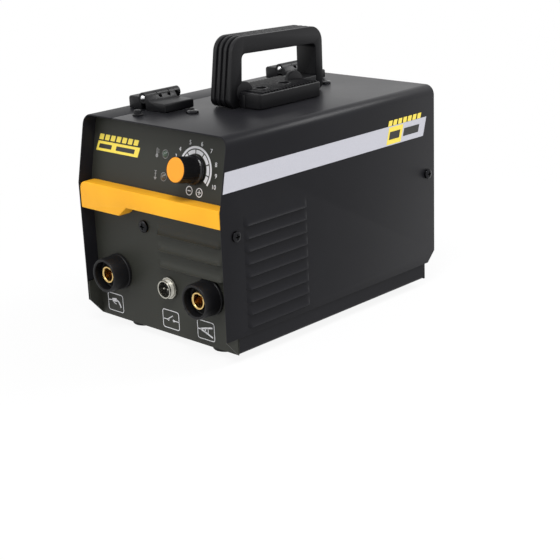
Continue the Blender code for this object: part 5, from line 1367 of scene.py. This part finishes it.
def print_colour_blocks():
    """The generic design on the front panel, and a smaller one at the rear end of the stripe."""
    heights = [along_face(height * MM) for height in (157.2, 165.6, 171.6)]
    pale, dark = colour_block(-84 * MM, 55 * MM, 55 * MM, *heights)
    print_upper(pale, "front_block", YELLOW_INK)
    print_upper(dark, "front_block_fields", DARK_INK)
    pale, dark = colour_block(68 * MM, 50 * MM, 20 * MM, 147 * MM, 162 * MM, 168 * MM)
    for marks, name, paint in (
        (pale, "wall_block", YELLOW_INK),
        (dark, "wall_block_fields", DARK_INK),
    ):
        piece = place(join(name, marks), Y, Z, X, (HALF_WIDTH + 0.17 * MM, 0, 0))
        finish(piece, "chassis", paint, "case_paint")


PICTOGRAMS = {  # each picture's middle and lines: a line's width and its points, in mm
    "torch": (
        -67.5,
        [
            (0.8, [(-10.3, 21.6), (-3.5, 22.6)]),
            (3.2, [(-4.5, 22.4), (1.5, 23.3)]),
            (1.5, [(1.2, 23.2), (4.4, 21.8), (7.0, 17.0)]),
            (0.8, [(-3.0, 20.4), (0.6, 19.2)]),
        ],
    ),
    "switch": (
        6,
        [
            (0.7, [(-10.3, 20.2), (-4.5, 20.2)]),
            (0.7, [(10.3, 20.2), (4.5, 20.2)]),
            (0.7, [(-3.0, 21.2), (2.6, 24.6)]),
        ],
    ),
    "clamp": (
        49.5,
        [
            (0.9, [(-10.3, 20.8), (-5.6, 20.8)]),
            (1.5, [(-6.2, 21.0), (-0.6, 22.6), (8.0, 24.4)]),
            (1.5, [(-6.2, 20.6), (-0.6, 19.0), (8.0, 15.8)]),
            (1.1, [(-0.8, 22.4), (-0.8, 19.2)]),
            (0.8, [(2.6, 23.0), (2.6, 18.2)]),
        ],
    ),
}


def print_pictograms():
    """A framed picture under each of the three sockets."""
    marks = []
    for name, (x, lines) in PICTOGRAMS.items():
        low, high = ((x - 10.5) * MM, 12.2 * MM), ((x + 10.5) * MM, 29.2 * MM)
        marks.append(frame_line(f"{name}_frame", low, high, 0.7 * MM, 2.6 * MM))
        for width, points in lines:
            points = [((x + across) * MM, up * MM) for across, up in points]
            marks += [dash(name, start, end, width * MM) for start, end in zip(points, points[1:])]
    for side in (-1, 1):
        centre = ((PICTOGRAMS["switch"][0] + side * 3.4) * MM, 20.2 * MM)
        marks.append(band("contact", centre, 0.55 * MM, 1.15 * MM))
    print_lower(marks, "socket_pictograms", WHITE_INK)


print_dial()
print_lamp_marks()
print_colour_blocks()
print_pictograms()


# ---------------------------------------------------------------- feet and rear fittings
def make_foot(name, x, y):
    profile = [
        (0, 0.6), (3.2, 0.6), (3.6, 0), (11.2, 0), (11.7, 0.5), (12.9, 6.2), (12.6, 7.0),
        (12.0, 7.2), (4.0, 7.2), (4.0, 9.6), (0, 9.9),
    ]
    foot = turned(f"buffer_{name}", profile, 40, (x, y, 0))
    finish(foot, "chassis", RUBBER, "rubber", f"foot_{name}")


for end, y in (("front", -104 * MM), ("rear", 104 * MM)):
    for side, x in (("left", -52 * MM), ("right", 52 * MM)):
        make_foot(f"{end}_{side}", x, y)


def make_fan_guard():
    """Wire rings and two crossed bars over the fan's opening, pressed from one blank."""
    at = Vector((FAN_X, REAR_PANEL_Y + 2.6 * MM, FAN_Z))
    rings = []
    for radius in (8, 16, 24, 32, 38):
        deselect()
        bpy.ops.mesh.primitive_torus_add(
            major_radius=radius * MM, minor_radius=0.8 * MM, major_segments=56, minor_segments=10
        )
        rings.append(named(f"ring_{radius}"))
    reach = 50.5 * MM
    for i in range(2):
        bar = block(f"guard_bar_{i}", (-reach, -1.2 * MM, -1.6 * MM), (reach, 1.2 * MM, -0.4 * MM))
        soften(bar, 0.3 * MM, 2)
        bar.rotation_euler = (0, 0, math.radians(45 + 90 * i))
        rings.append(settle(bar))
    guard = place(join("fan_guard", rings), X, Z, -Y, at)
    finish(guard, "chassis", STEEL, "bright_steel")


def make_rocker():
    """The rocker with its I and O, and the frame it tilts in."""
    softened_node("power_switch_frame", "switch_bezel", 0.5 * MM, GLOSS, "black_moulding")
    softened_node("power_switch_rocker", "switch_rocker_cap", 0.4 * MM, GLOSS, "black_moulding")
    pivot = Vector(mm(-10, 123.8, 166))
    throw = Matrix.Rotation(math.radians(-9), 3, "X")
    for side in (1, -1):
        up = throw @ Vector((0, side * 1.2, 7.1)).normalized()
        out = throw @ Vector((0, 7.1, -side * 1.2)).normalized()
        seat = pivot + throw @ Vector((0, 4.02 * MM, side * 3.4 * MM))
        if side > 0:
            mark = dash("switch_on", (0, -1.7 * MM), (0, 1.7 * MM), 0.7 * MM)
        else:
            mark = band("switch_off", (0, 0), 1.1 * MM, 1.8 * MM)
        place(mark, -X, up, out, seat)
        finish(mark, "switch_rocker", WHITE_INK, "black_moulding")


def make_gland():
    """Hexagon and ribbed dome nut of the mains inlet."""
    at = (-10 * MM, REAR_PANEL_Y, 60 * MM)
    profile = [
        (4.6, -9), (8.0, -9), (8.0, 5.3), (8.5, 5.3), (8.5, 15.2), (8.1, 16.4), (5.9, 18.8),
        (5.2, 19), (4.6, 18.6),
    ]
    dome = turned("gland_dome", profile, 72)
    flute(dome, 12, 0.05, *mm(8.2, 5, 20), square=True)
    hexagon = lathe("gland_hex", rectangle(8.05 * MM, GAP, 11 * MM, 5.2 * MM), 6)
    soften(hexagon, 0.4 * MM, 2, 25)
    gland = point_to(join("gland_dome", [dome, hexagon]), Y, at)
    finish(gland, "chassis", NYLON, "nylon", "cable_gland", angle=25)


def make_latch():
    """Quarter-turn latch with a coin slot in its head."""
    latch = copy_of_node("door_latch", "latch_head")
    slot = block("coin_slot", mm(-95, -66, 51.2), mm(-90.6, -54, 52.8))
    cut(latch, slot)
    soften(latch, 0.25 * MM, 2)
    finish(latch, "latch", BLACK_STEEL, "black_moulding", "door_latch")


make_fan_guard()
make_rocker()
make_gland()
make_latch()
for unchanged in ("rear_panel", "base_tray"):
    coat(frame["nodes"][unchanged], CASE)


# ---------------------------------------------------------------- wire compartment and inverter
def make_spool():
    """Moulded spool with windows in its outer cheek, and the wire wound on it."""
    near, y, z = mm(-36.4, 63.5, 112)
    profile = [
        (8.1, 0), (49.4, 0), (50, 0.5), (50, 2.2), (49.4, 2.6), (25, 2.6), (25, 42.4), (49.4, 42.4),
        (50, 42.8), (50, 44.5), (49.4, 45), (46.5, 45), (46, 44.2), (27.5, 44.2), (27, 45),
        (12.6, 45), (12.2, 43), (8.1, 43),
    ]
    spool = turned("spool_reel", profile, 72, (near, y, z), -X)
    windows = []
    for i in range(6):
        turn = math.radians(30 + 60 * i)
        seat = (near - 40 * MM, y + 36.5 * MM * math.cos(turn), z + 36.5 * MM * math.sin(turn))
        windows.append(rod(f"window_{i}", 5.2 * MM, seat, -X, 10 * MM, 28))
    cut(spool, *windows)
    finish(spool, "spool", MOULDING, "black_moulding", "wire_spool")
    profile = [(25.3, 0.2), (43.6, 0.2), (44, 0.6), (44, 38.8), (43.6, 39.2), (25.3, 39.2)]
    start = (near - 2.7 * MM, y, z)
    winding = turned("wound_wire", profile, 72, start, -X)
    turns = wound_wire("wire_turns", (0.62, 0.60, 0.57), (0, y, z))
    finish(winding, "spool", turns, "wire", "wire_winding")


def make_tension_knob():
    profile = [
        (0, 0), (2.2, 0), (2.2, 9.8), (6.0, 9.8), (6.5, 10.4), (6.5, 24.6), (6.1, 26.2),
        (4.6, 27.4), (0, 27.6),
    ]
    foot = mm(-57.5, -84, 60.8)
    knob = turned("tension_grip", profile, 64, foot)
    flute(knob, 16, 0.07, *mm(6.3, 72, 90), axis=foot[:2])
    finish(knob, "tension_knob", NYLON, "nylon", "tension_screw", angle=50)


make_spool()
make_tension_knob()
GUIDE_BRASS = turned_metal("guide_brass", (0.74, 0.53, 0.22), 0.3, mm(-57.5, 0, 52.5), "Y")
ROLL_STEEL = turned_metal("roll_steel", (0.72, 0.72, 0.73), 0.22, mm(0, -62, 41.05), "X")
WHEEL_STEEL = turned_metal("wheel_steel", (0.72, 0.72, 0.73), 0.22, mm(0, -62, 60.95), "X")
CAST = plated("cast_aluminium", (0.58, 0.58, 0.59), 0.42, 260, 0.03)
EXTRUDED = plated("extruded_aluminium", (0.66, 0.66, 0.68), 0.34, 120, 0.01)
CAN = plated("motor_can_steel", (0.45, 0.46, 0.47), 0.34)
FERRITE = fibre("transformer_tape", (0.42, 0.30, 0.06), 0.42, 90)
COPPER = wound_wire("reactor_winding", (0.62, 0.26, 0.10), (61 * MM, 0, 0), 2.2 * MM)
SLEEVE = fibre("capacitor_sleeve_film", (0.02, 0.04, 0.12), 0.25, 12)
BOARD = board_finish("board_mask")
SOFTENED = [  # CAD node, piece, width of its rounded edges in mm, finish and slot
    ("feed_plate", "feed_block", 0.6, NYLON, "nylon"),
    ("drive_roll", "grooved_roll", 0.2, ROLL_STEEL, "bright_steel"),
    ("pressure_arm", "pressure_lever_arm", 0.5, CAST, "aluminium"),
    ("pressure_roll", "pressure_wheel_ring", 0.5, WHEEL_STEEL, "bright_steel"),
    ("inlet_guide", "wire_inlet", 0.15, GUIDE_BRASS, "brass"),
    ("outlet_guide", "wire_outlet", 0.15, GUIDE_BRASS, "brass"),
    ("spool_spindle", "spindle_hub", 0.5, NYLON, "nylon"),
    ("spool_nut", "spindle_nut", 0.7, NYLON, "nylon"),
    ("centre_partition", "partition_sheet", 0.2, ZINC, "zinc_sheet"),
    ("feed_motor", "drive_motor", 0.8, CAN, "motor_steel"),
    ("potentiometer", "dial_potentiometer", 0.3, ZINC, "zinc_sheet"),
    ("circuit_board", "board_laminate", 0.15, BOARD, "board"),
    ("heatsink_left", "cooler_left", 0.25, EXTRUDED, "aluminium"),
    ("heatsink_right", "cooler_right", 0.25, EXTRUDED, "aluminium"),
    ("main_transformer", "transformer_block", 1.6, FERRITE, "ferrite"),
    ("output_reactor", "reactor_ring", 2.5, COPPER, "copper_winding"),
    ("main_capacitor", "capacitor_can", 1.2, SLEEVE, "capacitor_sleeve"),
    ("fan_frame", "fan_housing", 0.5, MOULDING, "black_moulding"),
    ("fan_rotor", "fan_wheel", 0.4, MOULDING, "black_moulding"),
]
for node, name, width, paint, slot in SOFTENED:
    softened_node(node, name, width * MM, paint, slot)
